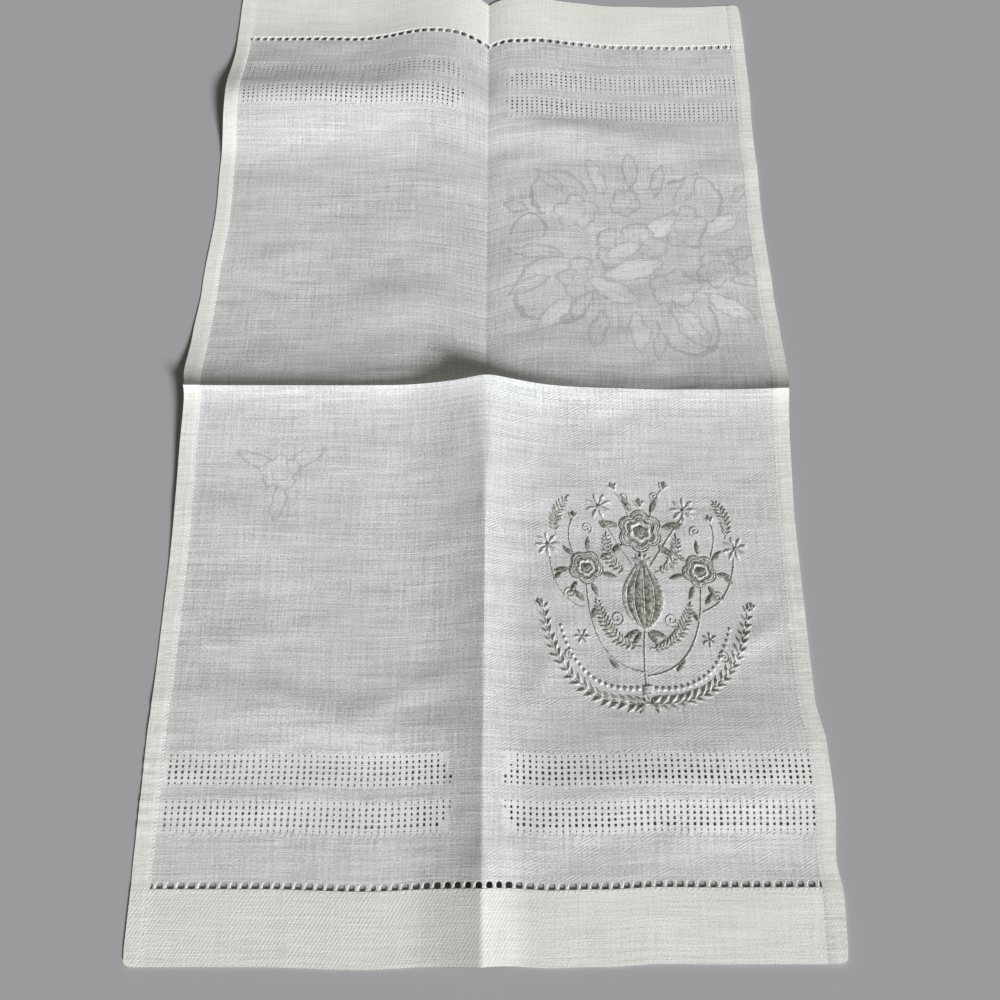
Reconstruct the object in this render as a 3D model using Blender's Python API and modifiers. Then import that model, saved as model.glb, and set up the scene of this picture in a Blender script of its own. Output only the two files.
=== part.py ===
"""Linen hand towel, lying open with the creases of its quarter fold still standing.

Metres, +Z up. The towel is one sheet of cloth: its width runs along X and its length along Y, with
the near end at -Y. The origin is on the surface that the towel lies on, under the middle of its box.
The towel was stored folded in four. Opened out, its cross crease stands up as a ridge from side to
side, its lengthwise crease stands up on the near half and is pressed down on the far half, and the
cloth between them lies flat but for a few low waves.
"""

from collections import namedtuple

import bpy
import numpy as np

MM = 0.001

# Sizes of the towel laid flat.
TOWEL_WIDTH = 354 * MM
TOWEL_LENGTH = 618 * MM
END_HEM = 35 * MM
SIDE_HEM = 9 * MM
CORNER_RADIUS = 4 * MM
CREASE_LEFT_OF_MIDDLE = 1.1 * MM

# One layer of cloth, the two layers of a hem, and the width of the step between them.
CLOTH_THICKNESS = 1.0 * MM
HEM_THICKNESS = 1.7 * MM
HEM_STEP = 1.4 * MM

# The cross crease: a ridge that is highest where the two creases meet, and sags on the right half.
RIDGE_AT_LEFT = 17 * MM
RIDGE_AT_RIGHT = 16.5 * MM
RIDGE_PEAK = 5 * MM
RIDGE_PEAK_REACH = 28 * MM
RIDGE_SAG = 4.0 * MM
RIDGE_SAG_MIDDLE = 112 * MM
RIDGE_SAG_REACH = 62 * MM

# The lengthwise crease on the near half: a low ridge that grows and widens towards the near end. It
# reaches further to the left than to the right.
NEAR_CREST_START = 8 * MM
NEAR_CREST_END = 9.2 * MM
NEAR_CREST_FADE = 14 * MM
Reach = namedtuple("Reach", "at_ridge at_end")
NEAR_CREST_LEFT_REACH = Reach(50 * MM, 62 * MM)
NEAR_CREST_RIGHT_REACH = Reach(27 * MM, 39 * MM)
NEAR_CREST_GROWS_FROM = 130 * MM

# The cloth stays on the surface wherever its folds would lift it by less than this.
RESTING_LIFT = 1.1 * MM
RESTING_BLEND = 1.6 * MM

# How the cross ridge falls away on each side: next to the crease, then further out.
Flank = namedtuple("Flank", "sharp_reach soft_reach sharp_share")
RIDGE_NEAR_LEFT = Flank(6.5 * MM, 60 * MM, 0.30)
RIDGE_NEAR_RIGHT = Flank(9 * MM, 58 * MM, 0.34)
RIDGE_FAR_LEFT = Flank(14 * MM, 38 * MM, 0.50)
RIDGE_FAR_RIGHT = Flank(15 * MM, 46 * MM, 0.48)

# The far half of the lengthwise crease is a valley, deep by VALLEY_START, between two shoulders that
# fall to the surface again.
VALLEY_START = 40 * MM
Shoulder = namedtuple("Shoulder", "side distance fall height_at_ridge height_at_end grows_from")
SHOULDERS = (
    Shoulder(-1, 28 * MM, 70 * MM, 0.9 * MM, 4.4 * MM, 120 * MM),
    Shoulder(+1, 18 * MM, 62 * MM, 0.7 * MM, 1.9 * MM, 140 * MM),
)

# How far the shoulders push the cloth towards the far end, as a share of their height.
SHOULDER_SPREAD = 2.3

# The little that the cloth is drawn out on the near half and taken up on the far half.
NEAR_TAKE_UP = 1.0025
FAR_TAKE_UP = 0.9949

# Low waves of the cloth, each a soft ridge: its middle, half its length and width, its height, and
# how far it is turned from the towel's width. Places are measured from where the creases cross.
Wave = namedtuple("Wave", "across along half_length half_width height turn_deg")
WAVES = (
    Wave(-118, 216, 112, 31, 16.5, 1),
    Wave(-110, 266, 100, 26, 3.6, 0),
    Wave(40, 197, 40, 11, 3.4, -3),
    Wave(118, 187, 42, 19, 3.6, -6),
    Wave(70, 262, 60, 18, 1.8, -4),
    Wave(-52, 66, 44, 18, 3.0, 2),
    Wave(24, 96, 30, 15, 2.2, 0),
    Wave(120, 70, 50, 24, 2.0, 12),
    Wave(-96, -189, 84, 16, 4.2, -9),
    Wave(-140, -82, 40, 16, 2.0, -14),
    Wave(-120, -232, 60, 15, 2.2, 4),
    Wave(124, -207, 80, 33, 6.0, 0),
    Wave(96, -120, 50, 30, 1.8, 8),
    Wave(140, -284, 44, 20, 2.0, 10),
    Wave(166, 292, 26, 34, 2.4, 0),
)

# Where the side edges wander from straight, outwards, at places along the towel.
EdgePlace = namedtuple("EdgePlace", "along left right")
EDGE_PLACES = (
    EdgePlace(-309, -1.3, 1.4),
    EdgePlace(-276, -1.1, 2.4),
    EdgePlace(-262, -0.6, 0.6),
    EdgePlace(-236, -0.4, 2.4),
    EdgePlace(-204, 0.0, 1.8),
    EdgePlace(-180, -0.4, -1.6),
    EdgePlace(-85, -0.4, -1.8),
    EdgePlace(-35, 0.4, -1.3),
    EdgePlace(0, -0.3, -0.6),
    EdgePlace(18, 2.0, 0.0),
    EdgePlace(45, 1.0, -0.8),
    EdgePlace(75, -0.8, -2.2),
    EdgePlace(133, -3.8, -4.2),
    EdgePlace(165, -3.0, -4.0),
    EdgePlace(205, -3.4, -4.4),
    EdgePlace(232, -3.0, -3.6),
    EdgePlace(262, -4.4, -4.0),
    EdgePlace(309, -4.2, -4.8),
)

# How far each end is drawn towards the far end, at places across the towel.
EndPlace = namedtuple("EndPlace", "across near far")
END_PLACES = (
    EndPlace(-177, 2.2, 5.2),
    EndPlace(-110, 1.8, 6.0),
    EndPlace(-60, 0.6, 2.0),
    EndPlace(-25, 1.4, 0.3),
    EndPlace(0, 1.2, 3.2),
    EndPlace(28, 1.8, -2.2),
    EndPlace(60, 3.4, -4.0),
    EndPlace(90, 5.2, -6.4),
    EndPlace(130, 4.9, -7.0),
    EndPlace(178.2, 4.9, -5.0),
)


# Spacing of the sheet's cross lines: first next to a crease, its growth, and the widest.
Spacing = namedtuple("Spacing", "first growth widest")
ACROSS_SPACING = Spacing(2.5 * MM, 1.30, 15 * MM)
ALONG_SPACING = Spacing(2.0 * MM, 1.26, 11.5 * MM)

LINEN_COLOUR = (0.60, 0.61, 0.58, 1.0)
LINEN_ROUGHNESS = 0.9


def ease(value, start, end):
    """0 before start and 1 after end, with a smooth change between them."""
    share = np.clip((value - start) / (end - start), 0.0, 1.0)
    return share * share * (3.0 - 2.0 * share)


def flank(distance, shape):
    """Share of its crest's height that a crease keeps at a distance from it."""
    sharp = shape.sharp_share * np.exp(-distance / shape.sharp_reach)
    soft = (1.0 - shape.sharp_share) * np.exp(-distance / shape.soft_reach)
    return sharp + soft


def cross_ridge(across, along):
    """Height of the ridge along the cross crease."""
    to_right = ease(across, -TOWEL_WIDTH / 2, TOWEL_WIDTH / 2)
    crest = RIDGE_AT_LEFT + (RIDGE_AT_RIGHT - RIDGE_AT_LEFT) * to_right
    crest = crest + RIDGE_PEAK * np.exp(-np.abs(across) / RIDGE_PEAK_REACH)
    crest = crest - RIDGE_SAG * np.exp(-((across - RIDGE_SAG_MIDDLE) / RIDGE_SAG_REACH) ** 2)
    distance = np.abs(along)
    on_right = ease(across, -RIDGE_PEAK_REACH, RIDGE_PEAK_REACH)
    near_left = flank(distance, RIDGE_NEAR_LEFT)
    far_left = flank(distance, RIDGE_FAR_LEFT)
    near_side = near_left + (flank(distance, RIDGE_NEAR_RIGHT) - near_left) * on_right
    far_side = far_left + (flank(distance, RIDGE_FAR_RIGHT) - far_left) * on_right
    return crest * np.where(along < 0, near_side, far_side)


def near_crest(across, along):
    """Height of the lengthwise crease on the near half, and its last trace past the ridge."""
    growth = ease(-along, NEAR_CREST_GROWS_FROM, TOWEL_LENGTH / 2)
    crest = NEAR_CREST_START + (NEAR_CREST_END - NEAR_CREST_START) * growth
    fade = np.exp(-np.maximum(along, 0) / NEAR_CREST_FADE)
    left, right = (side.at_ridge + (side.at_end - side.at_ridge) * growth
                   for side in (NEAR_CREST_LEFT_REACH, NEAR_CREST_RIGHT_REACH))
    return crest * fade * np.maximum(1 - np.abs(across) / np.where(across < 0, left, right), 0) ** 2


def far_valley(across, along):
    """Height of the two shoulders beside the valley of the far half."""
    height = np.zeros_like(across + along)
    for shoulder in SHOULDERS:
        out = np.maximum(shoulder.side * across, 0)
        rise = np.sin(np.pi / 2 * np.minimum(out / shoulder.distance, 1))
        fall = 1 - ease(out, shoulder.distance, shoulder.distance + shoulder.fall)
        growth = ease(along, shoulder.grows_from, TOWEL_LENGTH / 2)
        crest = shoulder.height_at_ridge + (shoulder.height_at_end - shoulder.height_at_ridge) * growth
        height = height + crest * ease(along, 0, VALLEY_START) * rise * fall
    return height


def low_waves(across, along):
    """Height of the low waves between the creases."""
    height = np.zeros_like(across + along)
    for wave in WAVES:
        turn = np.radians(wave.turn_deg)
        from_middle = across - wave.across * MM
        up_from_middle = along - wave.along * MM
        lengthwise = (from_middle * np.cos(turn) + up_from_middle * np.sin(turn)) / (wave.half_length * MM)
        sideways = (up_from_middle * np.cos(turn) - from_middle * np.sin(turn)) / (wave.half_width * MM)
        height = height + wave.height * MM * np.exp(-lengthwise ** 2 - sideways ** 2)
    return height


def lift(across, along):
    """Height of the towel's underside above the surface: zero where it rests."""
    folds = cross_ridge(across, along) + near_crest(across, along) + low_waves(across, along)
    above = np.maximum(folds - RESTING_LIFT, 0)
    held_up = np.where(above < RESTING_BLEND, above ** 2 / (2 * RESTING_BLEND), above - RESTING_BLEND / 2)
    return held_up + far_valley(across, along)


def between_rows(table, measured_by, value, place):
    """A table's value at a place, with a smooth change from row to row."""
    places = np.array([getattr(row, measured_by) for row in table]) * MM
    values = np.array([getattr(row, value) for row in table]) * MM
    index = np.clip(np.searchsorted(places, place) - 1, 0, len(places) - 2)
    share = ease(place, places[index], places[index + 1])
    return values[index] + (values[index + 1] - values[index]) * share


def round_corners(across, along, left, right, half_length):
    """Moves the points of each square corner onto a round one."""
    past_side = np.maximum(across - (right - CORNER_RADIUS), (left + CORNER_RADIUS) - across)
    past_end = np.abs(along) - (half_length - CORNER_RADIUS)
    in_corner = (past_side > 0) & (past_end > 0)
    reach = np.hypot(past_side, past_end)
    scale = np.where(in_corner, np.maximum(past_side, past_end) / np.where(in_corner, reach, 1), 1)
    side_shift = np.where(in_corner, past_side * (1 - scale), 0) * np.sign(across)
    end_shift = np.where(in_corner, past_end * (1 - scale), 0) * np.sign(along)
    return across - side_shift, along - end_shift


def steps_from_crease(reach, spacing):
    """Distances from a crease out to reach, closest together at the crease."""
    distances = [0.0]
    step = spacing.first
    while distances[-1] + step < reach:
        distances.append(distances[-1] + step)
        step = min(step * spacing.growth, spacing.widest)
    return np.array(distances) * (reach / distances[-1])


def sheet_lines(low, high, hem, spacing):
    """Places of the sheet's lines from one edge to the other, with each hem's step and edge."""
    hem_middle = hem / 2
    lower = steps_from_crease(-low - hem - HEM_STEP, spacing)
    upper = steps_from_crease(high - hem - HEM_STEP, spacing)
    lower_hem = [low, low + min(CORNER_RADIUS, hem_middle), low + hem]
    upper_hem = [high - hem, high - min(CORNER_RADIUS, hem_middle), high]
    if hem > 2 * spacing.widest:
        lower_hem.insert(2, low + hem_middle)
        upper_hem.insert(1, high - hem_middle)
    return np.concatenate([lower_hem, -lower[:0:-1], upper, upper_hem])


def run_from_crease(places, height, axis):
    """Distance of each point from the crease, seen from above, with the cloth's own length kept."""
    spacing = np.diff(places)
    spacing = spacing[:, None] if axis == 0 else spacing[None, :]
    rise = np.diff(height, axis=axis)
    run = np.sqrt(np.maximum(spacing ** 2 - rise ** 2, (0.3 * spacing) ** 2))
    total = np.zeros_like(height)
    crease = int(np.argmin(np.abs(places)))
    if axis == 0:
        total[1:, :] = np.cumsum(run, axis=0)
        return total - total[crease:crease + 1, :]
    total[:, 1:] = np.cumsum(run, axis=1)
    return total - total[:, crease:crease + 1]


def end_wander(across, along):
    """How far each point is drawn along the towel by its uneven ends."""
    near = between_rows(END_PLACES, "across", "near", across) * np.maximum(-along, 0)
    far = between_rows(END_PLACES, "across", "far", across) * np.maximum(along, 0)
    return (near + far) / (TOWEL_LENGTH / 2)


def sheet_points(across_lines, along_lines):
    """The underside's points in space, for each pair of lines of the flat towel."""
    across, along = np.meshgrid(across_lines, along_lines, indexing="ij")
    height = lift(across, along)
    left = across_lines[0]
    right = across_lines[-1]
    x = run_from_crease(across_lines, height, axis=0)
    y = run_from_crease(along_lines, height, axis=1)
    round_across, round_along = round_corners(across, along, left, right, TOWEL_LENGTH / 2)
    left_out = between_rows(EDGE_PLACES, "along", "left", along)
    right_out = between_rows(EDGE_PLACES, "along", "right", along)
    to_side = np.where(across < 0, across / left, across / right) ** 4
    x = x + (round_across - across) + to_side * np.where(across < 0, -left_out, right_out)
    y = np.where(y < 0, y * NEAR_TAKE_UP, y * FAR_TAKE_UP)
    y = y + (round_along - along) + end_wander(across, along) + SHOULDER_SPREAD * far_valley(across, along)
    x = x - (x.min() + x.max()) / 2
    y = y - (y.min() + y.max()) / 2
    return x, y, height


def linen_material():
    """Bleached linen: pale, a little warm, and matt."""
    material = bpy.data.materials.new("linen")
    material.use_nodes = True
    shader = material.node_tree.nodes["Principled BSDF"]
    shader.inputs["Base Color"].default_value = LINEN_COLOUR
    shader.inputs["Roughness"].default_value = LINEN_ROUGHNESS
    shader.inputs["Metallic"].default_value = 0.0
    return material


def towel(collection):
    """The towel: a sheet draped by its folds, thickened upwards from its underside."""
    left = -(TOWEL_WIDTH / 2 - CREASE_LEFT_OF_MIDDLE)
    right = TOWEL_WIDTH / 2 + CREASE_LEFT_OF_MIDDLE
    half_length = TOWEL_LENGTH / 2
    across_lines = sheet_lines(left, right, SIDE_HEM, ACROSS_SPACING)
    along_lines = sheet_lines(-half_length, half_length, END_HEM, ALONG_SPACING)
    x, y, height = sheet_points(across_lines, along_lines)

    columns = len(across_lines) - 1
    rows = len(along_lines) - 1
    bpy.ops.mesh.primitive_grid_add(x_subdivisions=columns, y_subdivisions=rows, size=2)
    sheet = bpy.context.active_object
    sheet.name = "towel"
    sheet.data.name = "towel"
    hem_points = []
    for point in sheet.data.vertices:
        column = round((point.co.x + 1) / 2 * columns)
        row = round((point.co.y + 1) / 2 * rows)
        point.co = (x[column, row], y[column, row], height[column, row])
        from_side = min(across_lines[column] - left, right - across_lines[column])
        from_end = half_length - abs(along_lines[row])
        if from_side < SIDE_HEM + HEM_STEP / 2 or from_end < END_HEM + HEM_STEP / 2:
            hem_points.append(point.index)

    hems = sheet.vertex_groups.new(name="hems")
    hems.add(hem_points, 1.0, "REPLACE")
    thicken = sheet.modifiers.new("cloth", "SOLIDIFY")
    thicken.thickness = HEM_THICKNESS
    thicken.offset = 1.0
    thicken.use_even_offset = True
    thicken.vertex_group = hems.name
    thicken.thickness_vertex_group = CLOTH_THICKNESS / HEM_THICKNESS
    sheet.data.shade_smooth()
    sheet.data.materials.append(linen_material())
    for holder in sheet.users_collection:
        holder.objects.unlink(sheet)
    collection.objects.link(sheet)
    return sheet


def main():
    for old in list(bpy.data.objects):
        bpy.data.objects.remove(old, do_unlink=True)
    collection = bpy.data.collections.new("hand_towel")
    bpy.context.scene.collection.children.link(collection)
    towel(collection)


main()
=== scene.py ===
# %% [markdown]
# # A linen hand towel, laid open with its storage creases
#
# The real towel is one rectangle of bleached linen. Its two ends are turned over as wide hems and
# caught with hemstitching, its sides are turned over as narrow hems, drawn threads make bands of
# openwork near both ends, and one quarter is embroidered. It was kept folded in four, so two creases
# still stand in it. This lesson builds the cloth as a thin sheet, and lays every stitch on it.

# %% Load the frame
import math
from collections import namedtuple

import bpy
import numpy as np
from mathutils import Matrix, Vector


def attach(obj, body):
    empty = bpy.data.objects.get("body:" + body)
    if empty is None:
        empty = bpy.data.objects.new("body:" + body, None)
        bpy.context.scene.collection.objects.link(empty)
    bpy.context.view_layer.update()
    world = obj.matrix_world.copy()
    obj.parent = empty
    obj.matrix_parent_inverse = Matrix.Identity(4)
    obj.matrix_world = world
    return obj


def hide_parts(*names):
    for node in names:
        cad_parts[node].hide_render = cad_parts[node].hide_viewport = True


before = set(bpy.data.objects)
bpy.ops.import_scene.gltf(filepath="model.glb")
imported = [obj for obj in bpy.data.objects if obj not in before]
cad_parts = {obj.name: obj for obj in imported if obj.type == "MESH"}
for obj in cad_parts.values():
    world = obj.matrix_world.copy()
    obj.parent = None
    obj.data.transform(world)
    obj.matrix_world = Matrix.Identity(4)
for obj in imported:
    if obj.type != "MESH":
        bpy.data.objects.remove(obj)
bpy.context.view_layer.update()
MM = 0.001

# %% [markdown]
# ## Small helpers
#
# Loading leaves the plain model selected, and an operator acts on all that is selected. So the first
# helper clears the selection. The colour helper takes the usual hex code of a colour as the screen
# shows it, and turns it into the linear light values that Blender's shaders count in.

# %% Helpers for selecting, colours and nodes
def deselect_all():
    if bpy.context.object and bpy.context.object.mode != "OBJECT":
        bpy.ops.object.mode_set(mode="OBJECT")
    bpy.ops.object.select_all(action="DESELECT")


def linear(hex_code):
    """The linear colour of a hex code such as D8DAD6, with full alpha."""
    screen = [int(hex_code[place:place + 2], 16) / 255 for place in (0, 2, 4)]
    return tuple(v / 12.92 if v <= 0.04045 else ((v + 0.055) / 1.055) ** 2.4 for v in screen) + (1.0,)


def add_node(tree, kind, inputs=None, **settings):
    """Adds a shader node, with its settings, and with each input given a value or linked."""
    made = tree.nodes.new("ShaderNode" + kind)
    for name, value in settings.items():
        setattr(made, name, value)
    for name, value in (inputs or {}).items():
        if isinstance(value, bpy.types.NodeSocket):
            tree.links.new(value, made.inputs[name])
        else:
            made.inputs[name].default_value = value
    return made


def ease(value, start, end):
    """0 before start and 1 after end, with a smooth change between them."""
    share = np.clip((value - start) / (end - start), 0.0, 1.0)
    return share * share * (3.0 - 2.0 * share)


# %% [markdown]
# ## The camera
#
# The camera stands where the photograph's did: above the near end, looking down steeply at the far
# half. Its place, its slope and its lens were worked out from the corners, creases and hems of the
# towel, whose places in space are known. It comes first because everything else is judged through it.

# %% Place the camera
CAMERA_PLACE = Vector((7.2, -252.0, 516.9)) * MM
CAMERA_DOWN_DEG = 70.32
CAMERA_TURN_DEG = 0.16
CAMERA_ROLL_DEG = 0.31
CAMERA_LENS_MM = 34.79
SENSOR_MM = 36.0


def add_camera():
    data = bpy.data.cameras.new("camera")
    data.sensor_width = SENSOR_MM
    data.lens = CAMERA_LENS_MM
    camera = bpy.data.objects.new("camera", data)
    bpy.context.scene.collection.objects.link(camera)
    down = math.radians(CAMERA_DOWN_DEG)
    turn = Matrix.Rotation(-math.radians(CAMERA_TURN_DEG), 4, "Z")
    slope = Matrix.Rotation(math.pi / 2 - down, 4, "X")
    roll = Matrix.Rotation(math.radians(CAMERA_ROLL_DEG), 4, "Z")
    camera.matrix_world = Matrix.Translation(CAMERA_PLACE) @ turn @ slope @ roll
    bpy.context.scene.camera = camera
    return camera


camera = add_camera()
looks_along = camera.matrix_world.to_3x3() @ Vector((0, 0, -1))
print("The camera looks along", [round(part, 3) for part in looks_along])

# %% [markdown]
# ## The towel laid flat
#
# Places on the cloth are given as on a paper pattern: across its width to the right, and along its
# length to the far end, both measured from the point where the two creases cross. Nearly every stitch
# is placed by these two numbers, and one function later carries them onto the folded cloth.

# %% Sizes of the flat towel
TOWEL_WIDTH = 354 * MM
TOWEL_LENGTH = 618 * MM
HALF_LENGTH = TOWEL_LENGTH / 2
CREASE_LEFT_OF_MIDDLE = 1.1 * MM
LEFT_EDGE = -(TOWEL_WIDTH / 2 - CREASE_LEFT_OF_MIDDLE)
RIGHT_EDGE = TOWEL_WIDTH / 2 + CREASE_LEFT_OF_MIDDLE
SIDE_HEM = 9 * MM
END_HEM = 35 * MM
CORNER_RADIUS = 4 * MM
CLOTH_THICKNESS = 0.38 * MM
HEM_THICKNESS = 0.9 * MM
CORNER_THICKNESS = 1.25 * MM
HEM_STEP = 1.4 * MM
SIDE_STEP = 2.4 * MM
SIDE_STEP_INSIDE = 0.75 * SIDE_STEP
SIDE_STEP_OUTSIDE = 0.25 * SIDE_STEP

# %% [markdown]
# ## How the cloth lies
#
# A pressed crease stands up sharply and falls away in a curve on each side. Each crease here is a
# height that fades with the distance from its line, so the cloth is a soft ridge and not a bent plate.
# The far half of the lengthwise crease was folded the other way, so there it is a valley between two
# shoulders. Where the two creases cross, the cloth is pulled over a small round peak.

# %% The creases
RIDGE_AT_LEFT = 17 * MM
RIDGE_AT_RIGHT = 16.5 * MM
RIDGE_PEAK = 5 * MM
RIDGE_PEAK_REACH = 28 * MM
RIDGE_SAG = 4.0 * MM
RIDGE_SAG_MIDDLE = 112 * MM
RIDGE_SAG_REACH = 62 * MM
NEAR_CREST_START = 8 * MM
NEAR_CREST_END = 9.2 * MM
NEAR_CREST_FADE = 14 * MM
Reach = namedtuple("Reach", "at_ridge at_end")
NEAR_CREST_LEFT_REACH = Reach(50 * MM, 62 * MM)
NEAR_CREST_RIGHT_REACH = Reach(27 * MM, 39 * MM)
NEAR_CREST_GROWS_FROM = 130 * MM
Flank = namedtuple("Flank", "sharp_reach soft_reach sharp_share")
RIDGE_NEAR_LEFT = Flank(6.5 * MM, 60 * MM, 0.30)
RIDGE_NEAR_RIGHT = Flank(9 * MM, 58 * MM, 0.34)
RIDGE_FAR_LEFT = Flank(14 * MM, 38 * MM, 0.50)
RIDGE_FAR_RIGHT = Flank(15 * MM, 46 * MM, 0.48)
VALLEY_START = 40 * MM
CROSSING_ROUNDING = 6 * MM
CROSSING_REACH = Reach(12 * MM, 80 * MM)
CROSSING_WIDENING = 13 * MM
Shoulder = namedtuple("Shoulder", "side distance fall height_at_ridge height_at_end grows_from")
SHOULDERS = (
    Shoulder(-1, 28 * MM, 70 * MM, 0.9 * MM, 4.4 * MM, 120 * MM),
    Shoulder(+1, 18 * MM, 62 * MM, 0.7 * MM, 1.9 * MM, 140 * MM),
)
SHOULDER_SPREAD = 2.3
NEAR_TAKE_UP = 1.0025
FAR_TAKE_UP = 0.9949


def flank(distance, shape):
    """Share of its crest's height that a crease keeps at a distance from it."""
    sharp = shape.sharp_share * np.exp(-distance / shape.sharp_reach)
    return sharp + (1.0 - shape.sharp_share) * np.exp(-distance / shape.soft_reach)


def crossing(along):
    """1 where the two creases cross, fading to 0 a hand's breadth away."""
    return 1 - ease(np.abs(along), CROSSING_REACH.at_ridge, CROSSING_REACH.at_end)


def from_crease(across, along):
    """Distance from the lengthwise crease, rounded off where the cloth is pulled over the crossing."""
    rounding = CROSSING_ROUNDING * crossing(along)
    return np.sqrt(across ** 2 + rounding ** 2) - rounding


def cross_ridge(across, along):
    to_right = ease(across, -TOWEL_WIDTH / 2, TOWEL_WIDTH / 2)
    crest = RIDGE_AT_LEFT + (RIDGE_AT_RIGHT - RIDGE_AT_LEFT) * to_right
    crest = crest + RIDGE_PEAK * np.exp(-from_crease(across, along) / RIDGE_PEAK_REACH)
    crest = crest - RIDGE_SAG * np.exp(-((across - RIDGE_SAG_MIDDLE) / RIDGE_SAG_REACH) ** 2)
    distance = np.abs(along)
    on_right = ease(across, -RIDGE_PEAK_REACH, RIDGE_PEAK_REACH)
    near_left = flank(distance, RIDGE_NEAR_LEFT)
    far_left = flank(distance, RIDGE_FAR_LEFT)
    near_side = near_left + (flank(distance, RIDGE_NEAR_RIGHT) - near_left) * on_right
    far_side = far_left + (flank(distance, RIDGE_FAR_RIGHT) - far_left) * on_right
    return crest * np.where(along < 0, near_side, far_side)


def near_crest(across, along):
    growth = ease(-along, NEAR_CREST_GROWS_FROM, HALF_LENGTH)
    crest = NEAR_CREST_START + (NEAR_CREST_END - NEAR_CREST_START) * growth
    fade = np.exp(-np.maximum(along, 0) / NEAR_CREST_FADE)
    left, right = (side.at_ridge + (side.at_end - side.at_ridge) * growth
                   for side in (NEAR_CREST_LEFT_REACH, NEAR_CREST_RIGHT_REACH))
    right = right + CROSSING_WIDENING * crossing(along)
    out = from_crease(across, along) / np.where(across < 0, left, right)
    return crest * fade * np.maximum(1 - out, 0) ** 2


def far_valley(across, along):
    height = np.zeros_like(across + along)
    for shoulder in SHOULDERS:
        out = np.maximum(shoulder.side * across, 0)
        rise = np.sin(np.pi / 2 * np.minimum(out / shoulder.distance, 1))
        fall = 1 - ease(out, shoulder.distance, shoulder.distance + shoulder.fall)
        growth = ease(along, shoulder.grows_from, HALF_LENGTH)
        crest = shoulder.height_at_ridge + (shoulder.height_at_end - shoulder.height_at_ridge) * growth
        height = height + crest * ease(along, 0, VALLEY_START) * rise * fall
    return height


# %% [markdown]
# ## Waves and wrinkles
#
# Linen is never quite flat between its creases. A wave is a soft swelling, longer than it is wide, with
# its place, half length, half width and height in millimetres. The broad ones are in the plain model
# too. The small wrinkles are of the same kind, but only this thin sheet has them: those that catch the
# eye are listed one by one, and the puckers, which nobody would count, are scattered by a seeded draw.

# %% The waves and the small wrinkles
Wave = namedtuple("Wave", "across along half_length half_width height turn_deg")
WAVES = (
    Wave(-118, 216, 112, 31, 16.5, 1),
    Wave(-110, 266, 100, 26, 3.6, 0),
    Wave(40, 197, 40, 11, 3.4, -3),
    Wave(118, 187, 42, 19, 3.6, -6),
    Wave(70, 262, 60, 18, 1.8, -4),
    Wave(-52, 66, 44, 18, 3.0, 2),
    Wave(24, 96, 30, 15, 2.2, 0),
    Wave(120, 70, 50, 24, 2.0, 12),
    Wave(-96, -189, 84, 16, 4.2, -9),
    Wave(-140, -82, 40, 16, 2.0, -14),
    Wave(-120, -232, 60, 15, 2.2, 4),
    Wave(124, -207, 80, 33, 6.0, 0),
    Wave(96, -120, 50, 30, 1.8, 8),
    Wave(140, -284, 44, 20, 2.0, 10),
    Wave(166, 292, 26, 34, 2.4, 0),
)
RESTING_LIFT = 1.1 * MM
RESTING_BLEND = 1.6 * MM


def wave_heights(across, along, waves):
    height = np.zeros_like(across + along)
    for wave in waves:
        cos = math.cos(math.radians(wave.turn_deg))
        sin = math.sin(math.radians(wave.turn_deg))
        right = across - wave.across * MM
        up = along - wave.along * MM
        lengthwise = (right * cos + up * sin) / (wave.half_length * MM)
        sideways = (up * cos - right * sin) / (wave.half_width * MM)
        height = height + wave.height * MM * np.exp(-lengthwise ** 2 - sideways ** 2)
    return height


def main_folds(across, along):
    """Height of the cloth's underside above the surface: the plain model's folds, with a rounder peak."""
    folds = cross_ridge(across, along) + near_crest(across, along) + wave_heights(across, along, WAVES)
    above = np.maximum(folds - RESTING_LIFT, 0)
    held_up = np.where(above < RESTING_BLEND, above ** 2 / (2 * RESTING_BLEND), above - RESTING_BLEND / 2)
    return held_up + far_valley(across, along)


WRINKLES = (
    Wave(-60, 13, 30, 4, 0.8, 4),
    Wave(40, 12, 14, 4, -0.6, -20),
    Wave(110, 14, 20, 4, -0.7, 12),
    Wave(9, 207, 12, 2.4, 0.7, 2),
    Wave(22, 0, 24, 12, 1.7, 0),
    Wave(22, -50, 36, 14, 1.3, 90),
    Wave(-6, -30, 24, 7, -0.5, 90),
    Wave(-30, 28, 15, 2.4, 0.8, -18),
    Wave(-20, 21, 14, 8, 0.9, -8),
    Wave(24, 197, 26, 11, -1.8, -3),
    Wave(155, 88, 20, 10, 1.0, 0),
    Wave(16, -254, 16, 9, 0.9, 0),
    Wave(130, -247, 34, 10, 1.0, 0),
    Wave(2, -266, 14, 9, 1.1, 90),
    Wave(55, -58, 40, 12, 0.8, 5),
    Wave(153, -144, 26, 5.5, 1.2, 32),
    Wave(34, -168, 18, 6, 0.7, 55),
    Wave(104, -232, 82, 17, 2.8, 0),
    Wave(-139, -153, 28, 5.5, 1.8, -35),
    Wave(-112, -177, 24, 6, 1.3, -20),
    Wave(-40, -176, 30, 6, 1.2, 18),
    Wave(-142, -32, 26, 9, 0.7, 10),
    Wave(-100, 218, 90, 10, 0.9, 0),
    Wave(-58, 176, 36, 9, 0.8, 4),
    Wave(-150, 252, 20, 8, 0.9, 0),
    Wave(80, 197, 84, 12, 1.4, 0),
    Wave(150, 166, 24, 10, 1.9, 0),
    Wave(27, 113, 18, 8, 0.9, 0),
    Wave(72, 31, 26, 7, 0.7, -10),
)
PUCKER_COUNT = 130
PUCKER_SEED = 14
PUCKER_LOWEST = Wave(-160, -262, 12, 4, 0.2, None)
PUCKER_HIGHEST = Wave(160, 200, 34, 8, 0.55, None)
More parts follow.
